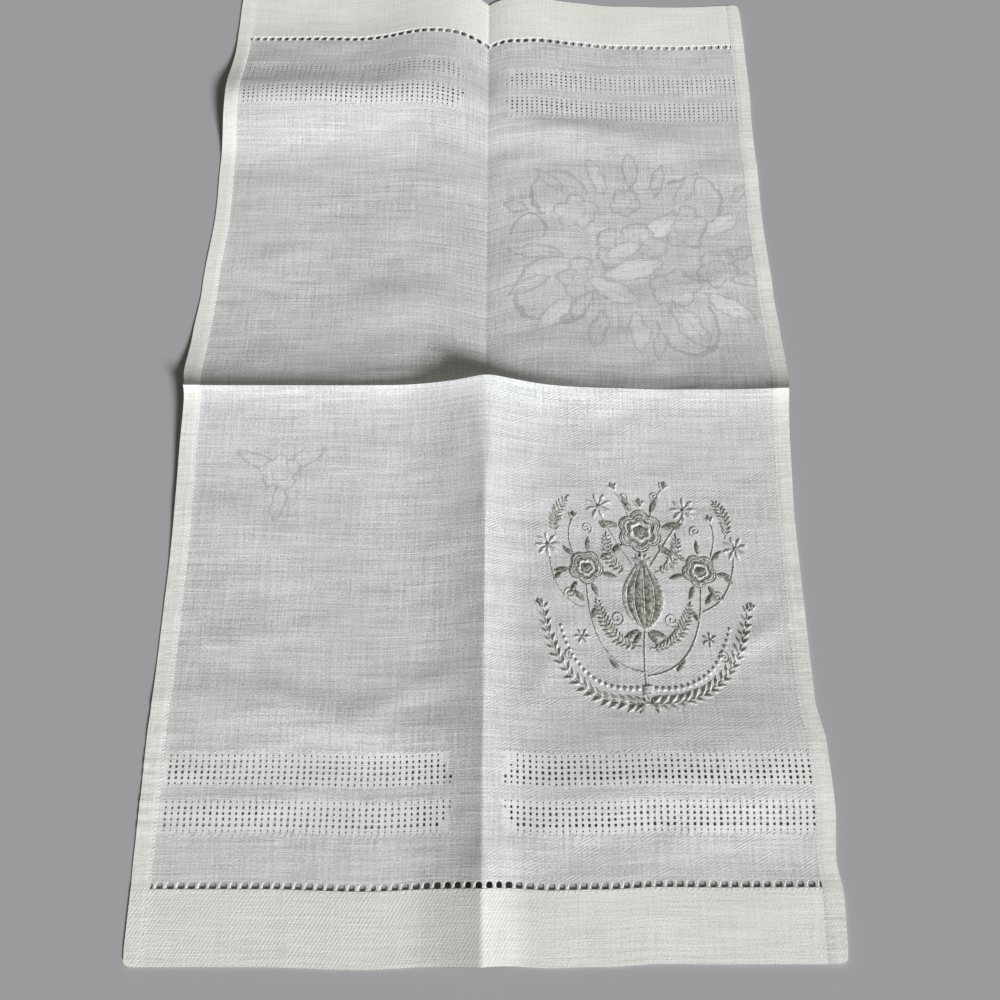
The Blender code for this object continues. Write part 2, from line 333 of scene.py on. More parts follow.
PUCKER_SLANT_DEG = -4
NEAR_RIGHT_SLANT_DEG = 18
PUCKER_SLANT_SPREAD_DEG = 10
SIDE_PUCKER_PLACES = np.arange(-244, -176, 6)
SIDE_PUCKER = Wave(-177, 0, 13, 1.9, None, None)
SIDE_PUCKER_SHIFT = (-1, 1)
SIDE_PUCKER_HEIGHTS = (0.35, 0.8)
SIDE_PUCKER_SLANTS_DEG = (-8, 8)


def make_puckers():
    """Soft puckers all over the cloth, slanting on the near right, and a tight row at the left side hem."""
    random = np.random.default_rng(PUCKER_SEED)
    rows = []
    for _ in range(PUCKER_COUNT):
        sizes = [random.uniform(low, high) for low, high in zip(PUCKER_LOWEST[:5], PUCKER_HIGHEST[:5])]
        near_right = sizes[0] > 0 and sizes[1] < 0
        slant = NEAR_RIGHT_SLANT_DEG if near_right else PUCKER_SLANT_DEG
        rows.append(Wave(*sizes, random.normal(slant, PUCKER_SLANT_SPREAD_DEG)))
    for along in SIDE_PUCKER_PLACES:
        rows.append(SIDE_PUCKER._replace(
            along=along + random.uniform(*SIDE_PUCKER_SHIFT),
            height=random.uniform(*SIDE_PUCKER_HEIGHTS),
            turn_deg=random.uniform(*SIDE_PUCKER_SLANTS_DEG),
        ))
    return rows


GROOVE_DEPTH = 0.45 * MM
GROOVE_HALF_WIDTH = 2.2 * MM
GROOVE_SIDES = 36 * MM
GROOVE_START = 12 * MM


def crease_groove(across, along):
    """The pressed line of the far crease: both sides stand a little above it, and flatten out."""
    sides = np.exp(-np.abs(across) / GROOVE_SIDES) - np.exp(-np.abs(across) / GROOVE_HALF_WIDTH)
    return GROOVE_DEPTH * sides * ease(along, GROOVE_START, 3 * GROOVE_START)


# %% [markdown]
# ## Edges and corners
#
# A hem pulls its cloth in, and never quite evenly. Two tables say how far the edges stand out from
# straight ones, in millimetres, at places along the sides and across the ends. Between two rows the
# value changes smoothly. The points of each square corner are then moved inwards onto a round one.

# %% The edges and the corners
EdgePlace = namedtuple("EdgePlace", "along left right")
EDGE_PLACES = (
    EdgePlace(-309, -1.3, 1.4),
    EdgePlace(-276, -1.1, 2.4),
    EdgePlace(-262, -0.6, 0.6),
    EdgePlace(-236, -0.4, 2.4),
    EdgePlace(-204, 0.0, 1.8),
    EdgePlace(-180, -0.4, -1.6),
    EdgePlace(-85, -0.4, -1.8),
    EdgePlace(-35, 0.4, -1.3),
    EdgePlace(0, -0.3, -0.6),
    EdgePlace(18, 2.0, 0.0),
    EdgePlace(45, 1.0, -0.8),
    EdgePlace(75, -0.8, -2.2),
    EdgePlace(133, -3.8, -4.2),
    EdgePlace(165, -3.0, -4.0),
    EdgePlace(205, -3.4, -4.4),
    EdgePlace(232, -3.0, -3.6),
    EdgePlace(262, -4.4, -4.0),
    EdgePlace(309, -4.2, -4.8),
)
EndPlace = namedtuple("EndPlace", "across near far")
END_PLACES = (
    EndPlace(-177, 2.2, 5.2),
    EndPlace(-110, 1.8, 6.0),
    EndPlace(-60, 0.6, 2.0),
    EndPlace(-25, 1.4, 0.3),
    EndPlace(0, 1.2, 3.2),
    EndPlace(28, 1.8, -2.2),
    EndPlace(60, 3.4, -4.0),
    EndPlace(90, 5.2, -6.4),
    EndPlace(130, 4.9, -7.0),
    EndPlace(178.2, 4.9, -5.0),
)


def between_rows(table, measured_by, value, place):
    """A table's value at a place, with a smooth change from row to row."""
    places = np.array([getattr(row, measured_by) for row in table]) * MM
    values = np.array([getattr(row, value) for row in table]) * MM
    index = np.clip(np.searchsorted(places, place) - 1, 0, len(places) - 2)
    share = ease(place, places[index], places[index + 1])
    return values[index] + (values[index + 1] - values[index]) * share


def edge_wander(along):
    """How far the left and right edges stand out from straight."""
    return [between_rows(EDGE_PLACES, "along", side, along) for side in ("left", "right")]


def round_corners(across, along):
    """How far each point moves to put the square corners onto round ones."""
    past_side = np.maximum(across - (RIGHT_EDGE - CORNER_RADIUS), (LEFT_EDGE + CORNER_RADIUS) - across)
    past_end = np.abs(along) - (HALF_LENGTH - CORNER_RADIUS)
    in_corner = (past_side > 0) & (past_end > 0)
    reach = np.where(in_corner, np.hypot(past_side, past_end), 1)
    cut = np.where(in_corner, 1 - np.maximum(past_side, past_end) / reach, 0)
    return -past_side * cut * np.sign(across), -past_end * cut * np.sign(along)


def end_wander(across, along):
    """How far each point is drawn along the towel by its uneven ends."""
    near = between_rows(END_PLACES, "across", "near", across) * np.maximum(-along, 0)
    far = between_rows(END_PLACES, "across", "far", across) * np.maximum(along, 0)
    return (near + far) / HALF_LENGTH


# %% [markdown]
# ## From the flat cloth to the folded cloth
#
# Linen doesn't stretch, so cloth that climbs a fold covers less ground. The height is worked out on a
# fine grid of the flat towel, and each step along the cloth is then shortened by its rise. What comes
# out is a chart: for each place on the flat cloth, its place in space. Everything that is modelled
# flat, the cloth as well as each stitch on it, is carried over with this one chart.

# %% Make the chart of the folded towel
CHART_STEP = 1.0 * MM
STEEPEST_RUN = 0.3
EDGE_WANDER_POWER = 4


def chart_lines(low, high):
    """Even lines from low to high, with one of them exactly on the crease at 0."""
    below = np.linspace(low, 0, round(-low / CHART_STEP) + 1)
    above = np.linspace(0, high, round(high / CHART_STEP) + 1)
    return np.concatenate([below, above[1:]])


def ground_run(lines, height, axis):
    """Distance from the crease, seen from above, with the cloth's own length kept."""
    step = np.diff(lines)[:, None] if axis == 0 else np.diff(lines)[None, :]
    rise = np.diff(height, axis=axis)
    run = np.sqrt(np.maximum(step ** 2 - rise ** 2, (STEEPEST_RUN * step) ** 2))
    total = np.concatenate([np.zeros_like(np.take(run, [0], axis)), np.cumsum(run, axis)], axis)
    return total - np.take(total, [int(np.argmin(np.abs(lines)))], axis)


def make_chart():
    across_lines = chart_lines(LEFT_EDGE, RIGHT_EDGE)
    along_lines = chart_lines(-HALF_LENGTH, HALF_LENGTH)
    across, along = np.meshgrid(across_lines, along_lines, indexing="ij")
    height = main_folds(across, along)
    left_out, right_out = edge_wander(along)
    corner_across, corner_along = round_corners(across, along)
    to_side = np.where(across < 0, across / LEFT_EDGE, across / RIGHT_EDGE) ** EDGE_WANDER_POWER
    wander = to_side * np.where(across < 0, -left_out, right_out)
    x = ground_run(across_lines, height, 0) + corner_across + wander
    y = ground_run(along_lines, height, 1)
    y = np.where(y < 0, y * NEAR_TAKE_UP, y * FAR_TAKE_UP) + corner_along + end_wander(across, along)
    y = y + SHOULDER_SPREAD * far_valley(across, along)
    x = x - (x.min() + x.max()) / 2
    y = y - (y.min() + y.max()) / 2
    fine = wave_heights(across, along, WRINKLES) + wave_heights(across, along, make_puckers())
    fine = fine + crease_groove(across, along)
    points = np.stack([x, y, np.maximum(height + fine, 0)], axis=-1)
    slope_across = np.gradient(points, across_lines, axis=0)
    slope_along = np.gradient(points, along_lines, axis=1)
    normals = np.cross(slope_across, slope_along)
    normals = normals / np.linalg.norm(normals, axis=-1, keepdims=True)
    return across_lines, along_lines, np.concatenate([points, normals], axis=-1)


CHART_ACROSS, CHART_ALONG, CHART = make_chart()


def cell_and_share(lines, place):
    """The chart's cell that holds a place, and how far through the cell it lies."""
    cell = np.clip(np.searchsorted(lines, place) - 1, 0, len(lines) - 2)
    return cell, ((place - lines[cell]) / (lines[cell + 1] - lines[cell]))[..., None]


def read_chart(across, along):
    """Point and normal of the cloth's underside at each place of the flat cloth."""
    column, to_right = cell_and_share(CHART_ACROSS, across)
    row, to_far = cell_and_share(CHART_ALONG, along)
    near = CHART[column, row] * (1 - to_right) + CHART[column + 1, row] * to_right
    far = CHART[column, row + 1] * (1 - to_right) + CHART[column + 1, row + 1] * to_right
    found = near * (1 - to_far) + far * to_far
    return found[..., :3], found[..., 3:]


def cloth_thickness(across, along):
    """Thickness of the towel: one layer, the two layers of a hem, or the corners' four."""
    from_side = np.minimum(across - LEFT_EDGE, RIGHT_EDGE - across)
    in_side = 1 - ease(from_side, SIDE_HEM - SIDE_STEP_INSIDE, SIDE_HEM + SIDE_STEP_OUTSIDE)
    in_end = ease(np.abs(along), HALF_LENGTH - END_HEM - HEM_STEP, HALF_LENGTH - END_HEM)
    hem_layer = (HEM_THICKNESS - CLOTH_THICKNESS) * np.maximum(in_side, in_end)
    corner_layer = (CORNER_THICKNESS - HEM_THICKNESS) * in_side * in_end
    return CLOTH_THICKNESS + hem_layer + corner_layer


def get_points(piece):
    """The places of a mesh's points, one row each."""
    flat = np.empty(len(piece.data.vertices) * 3)
    piece.data.vertices.foreach_get("co", flat)
    return flat.reshape(-1, 3)


def set_points(piece, points):
    piece.data.vertices.foreach_set("co", np.asarray(points, dtype=float).ravel())
    piece.data.update()


def lay_on_cloth(piece, on_top=True):
    """Carries a piece from the flat pattern onto the folded cloth. Its height is kept above the cloth."""
    flat = get_points(piece)
    point, normal = read_chart(flat[:, 0], flat[:, 1])
    above = flat[:, 2] + (cloth_thickness(flat[:, 0], flat[:, 1]) if on_top else 0)
    set_points(piece, point + normal * above[:, None])


highest = round(CHART[..., 2].max() / MM, 1)
print("Chart of", CHART.shape[0], "by", CHART.shape[1], "places, highest", highest, "mm")

# %% [markdown]
# ## The openwork
#
# Each end has two bands where the weaver's threads were drawn together into a net of tiny holes, one
# block on each side of the lengthwise crease. A hole is a real hole here: the sheet's lines run along
# the sides of every hole, and the cells between them are deleted. The outermost rows are drawn less
# tight, the net steps in towards the crease, and no two holes are quite alike.

# %% Where the holes are
COLUMN_PITCH = 3.3 * MM
ROW_PITCH = 2.78 * MM
HOLE_WIDTH = 1.2 * MM
HOLE_HEIGHT = 1.32 * MM
LEFT_BLOCK_START = -162.4 * MM
LEFT_BLOCK_COLUMNS = 45
RIGHT_BLOCK_START = 12.5 * MM
RIGHT_BLOCK_COLUMNS = 48
Band = namedtuple("Band", "first_row openness steps_in")
BANDS = (
    Band(209.4 * MM, (0.68, 0.92, 1.0, 1.1, 1.08, 0.78), (2, 2, 1, 1, 0, 0)),
    Band(232.5 * MM, (0.62, 0.92, 1.0, 0.98, 1.12, 0.6), (0, 0, 1, 1, 2, 2)),
)
HOLE_SEED = 7
HOLE_SIZES = (0.80, 1.12)
HOLE_SHIFT = 0.13 * MM

hole_columns = np.concatenate([
    LEFT_BLOCK_START + COLUMN_PITCH * np.arange(LEFT_BLOCK_COLUMNS),
    RIGHT_BLOCK_START + COLUMN_PITCH * np.arange(RIGHT_BLOCK_COLUMNS),
])
band_rows = np.concatenate([band.first_row + ROW_PITCH * np.arange(len(band.openness)) for band in BANDS])
hole_rows = np.concatenate([-band_rows[::-1], band_rows])
print(len(hole_columns), "columns and", len(hole_rows), "rows of holes")


def steps_between(start, end, widest):
    """Lines strictly between two places, no further apart than widest."""
    count = max(math.ceil((end - start) / widest - 1e-6), 1)
    return np.linspace(start, end, count + 1)[1:-1]


def lines_from_crease(reach, first, growth, widest):
    """Lines from a crease out to reach, closest together at the crease."""
    places = [0.0]
    step = first
    while places[-1] + step < reach:
        places.append(places[-1] + step)
        step = min(step * growth, widest)
    return np.array(places) * (reach / places[-1])


# %% [markdown]
# ## The lines of the sheet
#
# An even grid would be simpler, but its lines would run through the holes instead of around them. So
# there is a line on each side of every column and every row of holes. The other lines are close together
# at the creases, where the cloth turns sharply, and at the hems' steps, and wider apart in the field.

# %% The lines of the sheet
SHEET_STEP = 4.2 * MM
NARROW_STEP = 3 * MM
FIRST_STEP = 0.8 * MM
GROWTH_ACROSS = 1.35
GROWTH_ALONG = 1.25
CLOSEST_LINES = 0.2 * MM
HEM_GAP_START = 270.9 * MM
HEM_GAP_END = HALF_LENGTH - END_HEM
BEFORE_HEM_GAP = HEM_GAP_START - 1.5 * MM
SIDE_HEM_LINES = np.array([0, 1, 3.5, 6]) * MM
SIDE_STEP_LINES = np.array([-SIDE_STEP_INSIDE, SIDE_STEP_OUTSIDE])
END_HEM_LINES = np.array([5, 12, 20, 27, 33]) * MM


def both_sides(middles, size):
    """The two sides of each hole, in order."""
    return np.sort(np.concatenate([middles - size / 2, middles + size / 2]))


def lines_across():
    sides = both_sides(hole_columns, HOLE_WIDTH)
    left, right = sides[sides < 0], sides[sides > 0]
    left_of_crease = lines_from_crease(-left[-1], FIRST_STEP, GROWTH_ACROSS, NARROW_STEP)
    right_of_crease = lines_from_crease(right[0], FIRST_STEP, GROWTH_ACROSS, NARROW_STEP)
    return np.concatenate([
        LEFT_EDGE + SIDE_HEM_LINES, LEFT_EDGE + SIDE_HEM + SIDE_STEP_LINES,
        left, -left_of_crease[-2:0:-1], right_of_crease[:-1], right,
        RIGHT_EDGE - SIDE_HEM - SIDE_STEP_LINES[::-1], RIGHT_EDGE - SIDE_HEM_LINES[::-1],
    ])


def lines_along():
    sides = both_sides(band_rows, HOLE_HEIGHT)
    first_band_ends = len(BANDS[0].openness) * 2
    one_half = np.sort(np.concatenate([
        lines_from_crease(sides[0], FIRST_STEP, GROWTH_ALONG, SHEET_STEP)[1:-1], sides,
        steps_between(sides[first_band_ends - 1], sides[first_band_ends], NARROW_STEP),
        steps_between(sides[-1], BEFORE_HEM_GAP, SHEET_STEP), [BEFORE_HEM_GAP, HEM_GAP_START, HEM_GAP_END],
        HEM_GAP_END + END_HEM_LINES, [HALF_LENGTH - FIRST_STEP, HALF_LENGTH],
    ]))
    return np.concatenate([-one_half[::-1], [0.0], one_half])


across_lines = lines_across()
along_lines = lines_along()
print("The sheet has", len(across_lines), "by", len(along_lines), "lines")
assert min(np.diff(across_lines).min(), np.diff(along_lines).min()) > CLOSEST_LINES

# %% [markdown]
# ## The cloth
#
# The cloth could be a plane with an image of holes on it, but then its holes would be paint. Instead a
# grid primitive gets exactly the lines from above. In edit mode the hole cells are selected by their
# place and deleted, and so are the cells of the hemstitched gap, but not where the side hems cross it.

# %% Make the flat sheet and cut its holes
def even_grid(name, columns, rows):
    """A square grid of size 2. Returns it and the number of each point's column line and row line."""
    deselect_all()
    bpy.ops.mesh.primitive_grid_add(x_subdivisions=columns, y_subdivisions=rows, size=2)
    sheet = bpy.context.object
    sheet.name = name
    sheet.data.name = name
    flat = get_points(sheet)
    column = np.rint((flat[:, 0] + 1) / 2 * columns).astype(int)
    row = np.rint((flat[:, 1] + 1) / 2 * rows).astype(int)
    return sheet, column, row


def cell_of_faces(sheet, columns, rows):
    """The column and the row of each face of a square grid of size 2."""
    centres = np.array([face.center[:2] for face in sheet.data.polygons])
    cells = np.floor((centres + 1) / 2 * (columns, rows)).astype(int)
    return cells[:, 0], cells[:, 1]


def delete_faces(piece, chosen):
    """Deletes the chosen faces in edit mode, as by hand."""
    deselect_all()
    piece.select_set(True)
    bpy.context.view_layer.objects.active = piece
    bpy.ops.object.mode_set(mode="EDIT")
    bpy.ops.mesh.select_all(action="DESELECT")
    bpy.ops.mesh.select_mode(type="FACE")
    bpy.ops.object.mode_set(mode="OBJECT")
    piece.data.polygons.foreach_set("select", chosen)
    bpy.ops.object.mode_set(mode="EDIT")
    bpy.ops.mesh.delete(type="FACE")
    bpy.ops.object.mode_set(mode="OBJECT")


def columns_from_crease(centre_across):
    """How many columns a hole lies further from the crease than its block's innermost column."""
    innermost = RIGHT_BLOCK_START
    if centre_across < 0:
        innermost = LEFT_BLOCK_START + COLUMN_PITCH * (LEFT_BLOCK_COLUMNS - 1)
    return abs(centre_across - innermost) / COLUMN_PITCH


def open_holes(across_grid, along_grid):
    """Gives each hole its own size and place, and marks its cell. Works on the grid of flat places."""
    random = np.random.default_rng(HOLE_SEED)
    cells = np.zeros((across_grid.shape[0] - 1, across_grid.shape[1] - 1), dtype=bool)
    for centre_along in hole_rows:
        distance = abs(centre_along)
        band = BANDS[0] if distance < BANDS[1].first_row - ROW_PITCH else BANDS[1]
        place = round((distance - band.first_row) / ROW_PITCH)
        row = int(np.searchsorted(along_lines, centre_along)) - 1
        for centre_across in hole_columns:
            size = band.openness[place] * random.uniform(*HOLE_SIZES)
            shift_across, shift_along = random.uniform(-1, 1, 2) * HOLE_SHIFT
            if columns_from_crease(centre_across) < band.steps_in[place] - 0.5:
                continue
            column = int(np.searchsorted(across_lines, centre_across)) - 1
            cells[column, row] = True
            corners = np.s_[column:column + 2, row:row + 2]
            for grid, centre, shift in (
                (across_grid, centre_across, shift_across), (along_grid, centre_along, shift_along),
            ):
                grid[corners] = centre + (grid[corners] - centre) * size + shift
    return cells


def in_hem_gaps(face_column, face_row, columns, rows):
    """Whether a face lies in one of the two gaps of the hemstitching, between the side hems."""
    hem_cells = len(SIDE_HEM_LINES) + len(SIDE_STEP_LINES) - 1
    far_gap = int(np.argmin(np.abs(along_lines - HEM_GAP_START)))
    in_gap_row = (face_row == far_gap) | (rows - 1 - face_row == far_gap)
    return in_gap_row & (face_column >= hem_cells) & (face_column < columns - hem_cells)


def make_cloth():
    """The flat sheet, with its points on its lines, and which of its faces are cut away."""
    columns = len(across_lines) - 1
    rows = len(along_lines) - 1
    sheet, column, row = even_grid("towel_cloth", columns, rows)
    face_column, face_row = cell_of_faces(sheet, columns, rows)
    across_grid, along_grid = np.meshgrid(across_lines, along_lines, indexing="ij")
    cells = open_holes(across_grid, along_grid)
    flat = np.stack([across_grid[column, row], along_grid[column, row], np.zeros(len(column))], axis=-1)
    set_points(sheet, flat)
    print("Cut", int(cells.sum()), "openwork holes, and the two gaps of the hemstitching")
    return sheet, cells[face_column, face_row] | in_hem_gaps(face_column, face_row, columns, rows)


cloth, gone = make_cloth()
delete_faces(cloth, gone)

# %% [markdown]
# ## Unwrap, fold and thicken the cloth
#
# While the sheet is still flat, its UV map is written: one unit of it is one metre of cloth, so each
# pattern in the material has its real size and follows the folds. Then the chart lays the sheet over
# its folds. Solidify gives it the thickness of one layer, and a vertex group makes the hems thicker.

# %% Unwrap, fold and thicken
SHARP_EDGE_DEG = 50


def unwrap_flat(piece):
    """Writes the flat places, in metres, as a UV map."""
    flat = get_points(piece)
    corners = np.empty(len(piece.data.loops), dtype=int)
    piece.data.loops.foreach_get("vertex_index", corners)
    layer = piece.data.uv_layers.active or piece.data.uv_layers.new(name="flat_cloth")
    layer.name = "flat_cloth"
    layer.data.foreach_set("uv", flat[corners, :2].ravel())


def group_by_thickness(piece):
    """A vertex group that says how near each point comes to the towel's greatest thickness."""
    flat = get_points(piece)
    share = (cloth_thickness(flat[:, 0], flat[:, 1]) - CLOTH_THICKNESS) / (CORNER_THICKNESS - CLOTH_THICKNESS)
    group = piece.vertex_groups.new(name="layers")
    for level in np.unique(share.round(3)):
        chosen = np.flatnonzero(np.abs(share - level) < 0.001)
        group.add([int(i) for i in chosen], float(level), "REPLACE")
    return group


def apply_modifier(piece, modifier):
    deselect_all()
    piece.select_set(True)
    bpy.context.view_layer.objects.active = piece
    bpy.ops.object.modifier_apply(modifier=modifier.name)


def thicken_cloth(piece):
    layers = group_by_thickness(piece)
    thicken = piece.modifiers.new("thickness", "SOLIDIFY")
    thicken.thickness = CORNER_THICKNESS
    thicken.offset = 1.0
    thicken.use_even_offset = False
    thicken.vertex_group = layers.name
    thicken.thickness_vertex_group = CLOTH_THICKNESS / CORNER_THICKNESS
    lay_on_cloth(piece, on_top=False)
    apply_modifier(piece, thicken)
    bpy.ops.object.shade_smooth_by_angle(angle=math.radians(SHARP_EDGE_DEG))


def count_triangles(piece):
    return sum(len(face.vertices) - 2 for face in piece.data.polygons)


unwrap_flat(cloth)
thicken_cloth(cloth)
print("The cloth has", count_triangles(cloth), "triangles")

# %% [markdown]
# ## A stitch, modelled once
#
# On the real towel every thread is a soft, slightly flattened cord. A curve with a bevel could make
# each one, but thousands of curves are slow. So a thread is made by hand just once, from a circle that
# is extruded and scaled section by section. Its mesh is then copied to every place where the stitch is
# sewn, turned and stretched a little differently each time, and all copies are laid on the cloth.

# %% Tools for making and copying threads
Section = namedtuple("Section", "run up wide thick")
Place = namedtuple("Place", "across along turn length width height")


def thread_by_sections(name, sections, sides=6):
    """A closed thread along X: each section says how far it runs, how high it lies and how thick it is."""
    deselect_all()
    bpy.ops.mesh.primitive_circle_add(vertices=sides, radius=1, fill_type="NGON")
    thread = bpy.context.object
    thread.name = name
    bpy.ops.object.mode_set(mode="EDIT")
    bpy.ops.mesh.select_all(action="SELECT")
    for _ in sections[1:]:
        bpy.ops.mesh.extrude_region_move(TRANSFORM_OT_translate={"value": (0, 0, 1)})
    bpy.ops.object.mode_set(mode="OBJECT")
    for point in thread.data.vertices:
        section = sections[round(point.co.z)]
        point.co = (section.run, point.co.x * section.wide, section.up + point.co.y * section.thick)
    thread.data.update()
    recalculate_normals(thread)
    return thread


def recalculate_normals(piece):
    deselect_all()
    piece.select_set(True)
    bpy.context.view_layer.objects.active = piece
    bpy.ops.object.mode_set(mode="EDIT")
    bpy.ops.mesh.select_all(action="SELECT")
    bpy.ops.mesh.normals_make_consistent(inside=False)
    bpy.ops.object.mode_set(mode="OBJECT")


def copies(name, template, places):
    """One mesh with a copy of the template at each place of the flat cloth. The template is removed."""
    shape = np.array([point.co for point in template.data.vertices])
    faces = [list(face.vertices) for face in template.data.polygons]
    points = []
    for place in places:
        run = shape[:, 0] * place.length
        side = shape[:, 1] * place.width
        cos = math.cos(place.turn)
        sin = math.sin(place.turn)
        points.append(np.stack([
            place.across + run * cos - side * sin,
            place.along + run * sin + side * cos,
            shape[:, 2] * place.height,
        ], axis=-1))
    starts = [len(shape) * copy for copy in range(len(places))]
    all_faces = [[corner + start for corner in face] for start in starts for face in faces]
    mesh = bpy.data.meshes.new(name)
    mesh.from_pydata(np.concatenate(points).tolist(), [], all_faces)
    bpy.data.objects.remove(template, do_unlink=True)
    piece = bpy.data.objects.new(name, mesh)
    bpy.context.scene.collection.objects.link(piece)
    mesh.shade_smooth()
    return piece


def join(name, pieces):
    deselect_all()
    for piece in pieces:
        piece.select_set(True)
    bpy.context.view_layer.objects.active = pieces[0]
    if len(pieces) > 1:
        bpy.ops.object.join()
    pieces[0].name = name
    pieces[0].data.name = name
    return pieces[0]


# %% [markdown]
# ## The hemstitching
#
# Before the end hems are sewn, a few crosswise threads are pulled out beside them. The needle then
# gathers the bare lengthwise threads into little bundles and catches each bundle to the hem, which
# leaves a row of square holes. Each bundle here is an hourglass that spreads into the cloth at both
# ends, which also rounds the corners of the holes. A slanted stitch binds each bundle to the hem.

# %% Sew the hemstitching
HOLE_PITCH = 5.36 * MM
BUNDLE_SEED = 21
BUNDLE_WIDTHS = (0.88, 1.14)
BUNDLE_SHIFT = 0.25 * MM
TANGLE = (-68 * MM, -44 * MM)
TANGLE_WIDTH = 1.35
SLANT_LEANS_DEG = (62, 76)
GAP_MIDDLE = (HEM_GAP_START + HEM_GAP_END) / 2
GAP_HALF = (HEM_GAP_END - HEM_GAP_START) / 2
BUNDLE = (
    Section(-1.55, 0.10, 2.30, 0.10),
    Section(-1.00, 0.26, 1.90, 0.24),
    Section(-0.68, 0.30, 1.18, 0.30),
    Section(0.0, 0.32, 0.98, 0.34),
    Section(0.64, 0.34, 1.18, 0.34),
    Section(0.97, 0.40, 1.90, 0.34),
    Section(1.45, 0.45, 2.20, 0.20),
)
SLANTED_STITCH = (
    Section(-1.0, 0.30, 0.12, 0.10),
    Section(-0.75, 0.72, 0.24, 0.20),
    Section(-0.2, 0.78, 0.28, 0.24),
    Section(0.4, 0.72, 0.28, 0.24),
    Section(0.8, 0.52, 0.22, 0.20),
    Section(1.0, 0.20, 0.12, 0.10),
)
Binding = namedtuple("Binding", "shift_across along less_lean half_length width height")
SLANT = Binding(0.1 * MM, GAP_MIDDLE + 0.2 * MM, 0.0, 2.1 * MM, 0.8, 0.8)
HOOKS = (
    Binding(1.2 * MM, HEM_GAP_END + 0.7 * MM, 0.2, 1.3 * MM, 0.85, 1.1),
    Binding(-1.5 * MM, HEM_GAP_END + 1.1 * MM, 0.1, 1.2 * MM, 0.85, 1.1),
)


def bound(binding, across, lean, end):
    """The place of a binding stitch beside the bundle at a place across the towel."""
    return Place(across + binding.shift_across, binding.along * end, lean - binding.less_lean,
                 binding.half_length, binding.width, binding.height)


def in_mm(sections):
    """Sections whose sizes across and upwards are in millimetres, and whose run stays a share."""
    return [Section(row.run, row.up * MM, row.wide * MM, row.thick * MM) for row in sections]


def hemstitching(name, end):
    """The bundles and their slanted stitches for the near end (-1) or the far end (+1)."""
    random = np.random.default_rng(BUNDLE_SEED + end)
    first = LEFT_EDGE + SIDE_HEM - HOLE_PITCH / 2
    last = RIGHT_EDGE - SIDE_HEM + HOLE_PITCH / 2
    count = round((last - first) / HOLE_PITCH)
    outwards = math.pi / 2 * end
    bundles, slants, hooks = [], [], []
    for number in range(count + 1):
        across = first + (last - first) * number / count + random.uniform(-1, 1) * BUNDLE_SHIFT
        tangled = end < 0 and TANGLE[0] < across < TANGLE[1]
        wide = random.uniform(*BUNDLE_WIDTHS) * (TANGLE_WIDTH if tangled else 1)
        bundles.append(Place(across, GAP_MIDDLE * end, outwards, GAP_HALF, wide, 1.0))
        lean = math.radians(random.uniform(*SLANT_LEANS_DEG))
        slants.append(bound(SLANT, across, lean, end))
        hooks += [bound(hook, across, lean, end) for hook in HOOKS]
    pieces = [
        copies("bundles", thread_by_sections("bundle", in_mm(BUNDLE), 8), bundles),
        copies("slants", thread_by_sections("slant", in_mm(SLANTED_STITCH)), slants),
        copies("hooks", thread_by_sections("hook", in_mm(SLANTED_STITCH)), hooks),
    ]
    for piece in pieces:
        lay_on_cloth(piece, on_top=False)
    sewn = join(name, pieces)
    print(name, "has", len(bundles), "bundles and", count_triangles(sewn), "triangles")
    return sewn


near_hemstitching = hemstitching("near_hemstitching", -1)
far_hemstitching = hemstitching("far_hemstitching", 1)

# %% [markdown]
# ## The stitches of the side hems
#
# The side hems are caught down with small overcast stitches that lean along the inner edge of the hem,
# about two millimetres apart. They go on across the end hems, where they show only as a faint seam.

# %% Sew the side hems
SIDE_STITCH_PITCH = 2.0 * MM
SIDE_STITCH_SEED = 5
SIDE_STITCH_LEANS_DEG = (25, 50)
SIDE_STITCH_HALF_LENGTHS = (0.8, 1.1)
SIDE_STITCH_SHIFT = 0.15 * MM
PAST_HEM_EDGE = 0.25 * MM
SEAM_FLATNESS = 0.6
HEM_MARGIN = 2 * MM
SIDE_STITCH = (
    Section(-1.0, -0.05, 0.08, 0.06),
    Section(-0.6, 0.10, 0.20, 0.13),
    Section(0.3, 0.12, 0.20, 0.13),
    Section(1.0, -0.05, 0.08, 0.06),
)


def sew_side_hems():
    random = np.random.default_rng(SIDE_STITCH_SEED)
    places = []
    for side, edge in ((-1, LEFT_EDGE + SIDE_HEM), (1, RIGHT_EDGE - SIDE_HEM)):
        for along in np.arange(-HALF_LENGTH + HEM_MARGIN, HALF_LENGTH - HEM_MARGIN, SIDE_STITCH_PITCH):
            if abs(abs(along) - GAP_MIDDLE) < HEM_MARGIN:
                continue
            lean = math.radians(random.uniform(*SIDE_STITCH_LEANS_DEG)) * -side
            across = edge - side * PAST_HEM_EDGE + random.uniform(-1, 1) * SIDE_STITCH_SHIFT
            half = random.uniform(*SIDE_STITCH_HALF_LENGTHS) * MM
            height = SEAM_FLATNESS if abs(along) > HEM_GAP_END else 1.0
            places.append(Place(across, along, lean, half, 1.0, height))
    stitches = copies("side_hem_stitches", thread_by_sections("stitch", in_mm(SIDE_STITCH), 5), places)
    lay_on_cloth(stitches)
    print("Side hems:", len(places), "stitches")
    return stitches


side_hem_stitches = sew_side_hems()

# %% [markdown]
# ## The ticks beside the openwork
#
# Where a band of openwork ends, its last threads are held by short slanted stitches, one for each
# column of holes. They are too fine to count from a step away, but they give the bands a bright,
# slightly ragged border. The side hems' small thread is used again, only a little flatter.

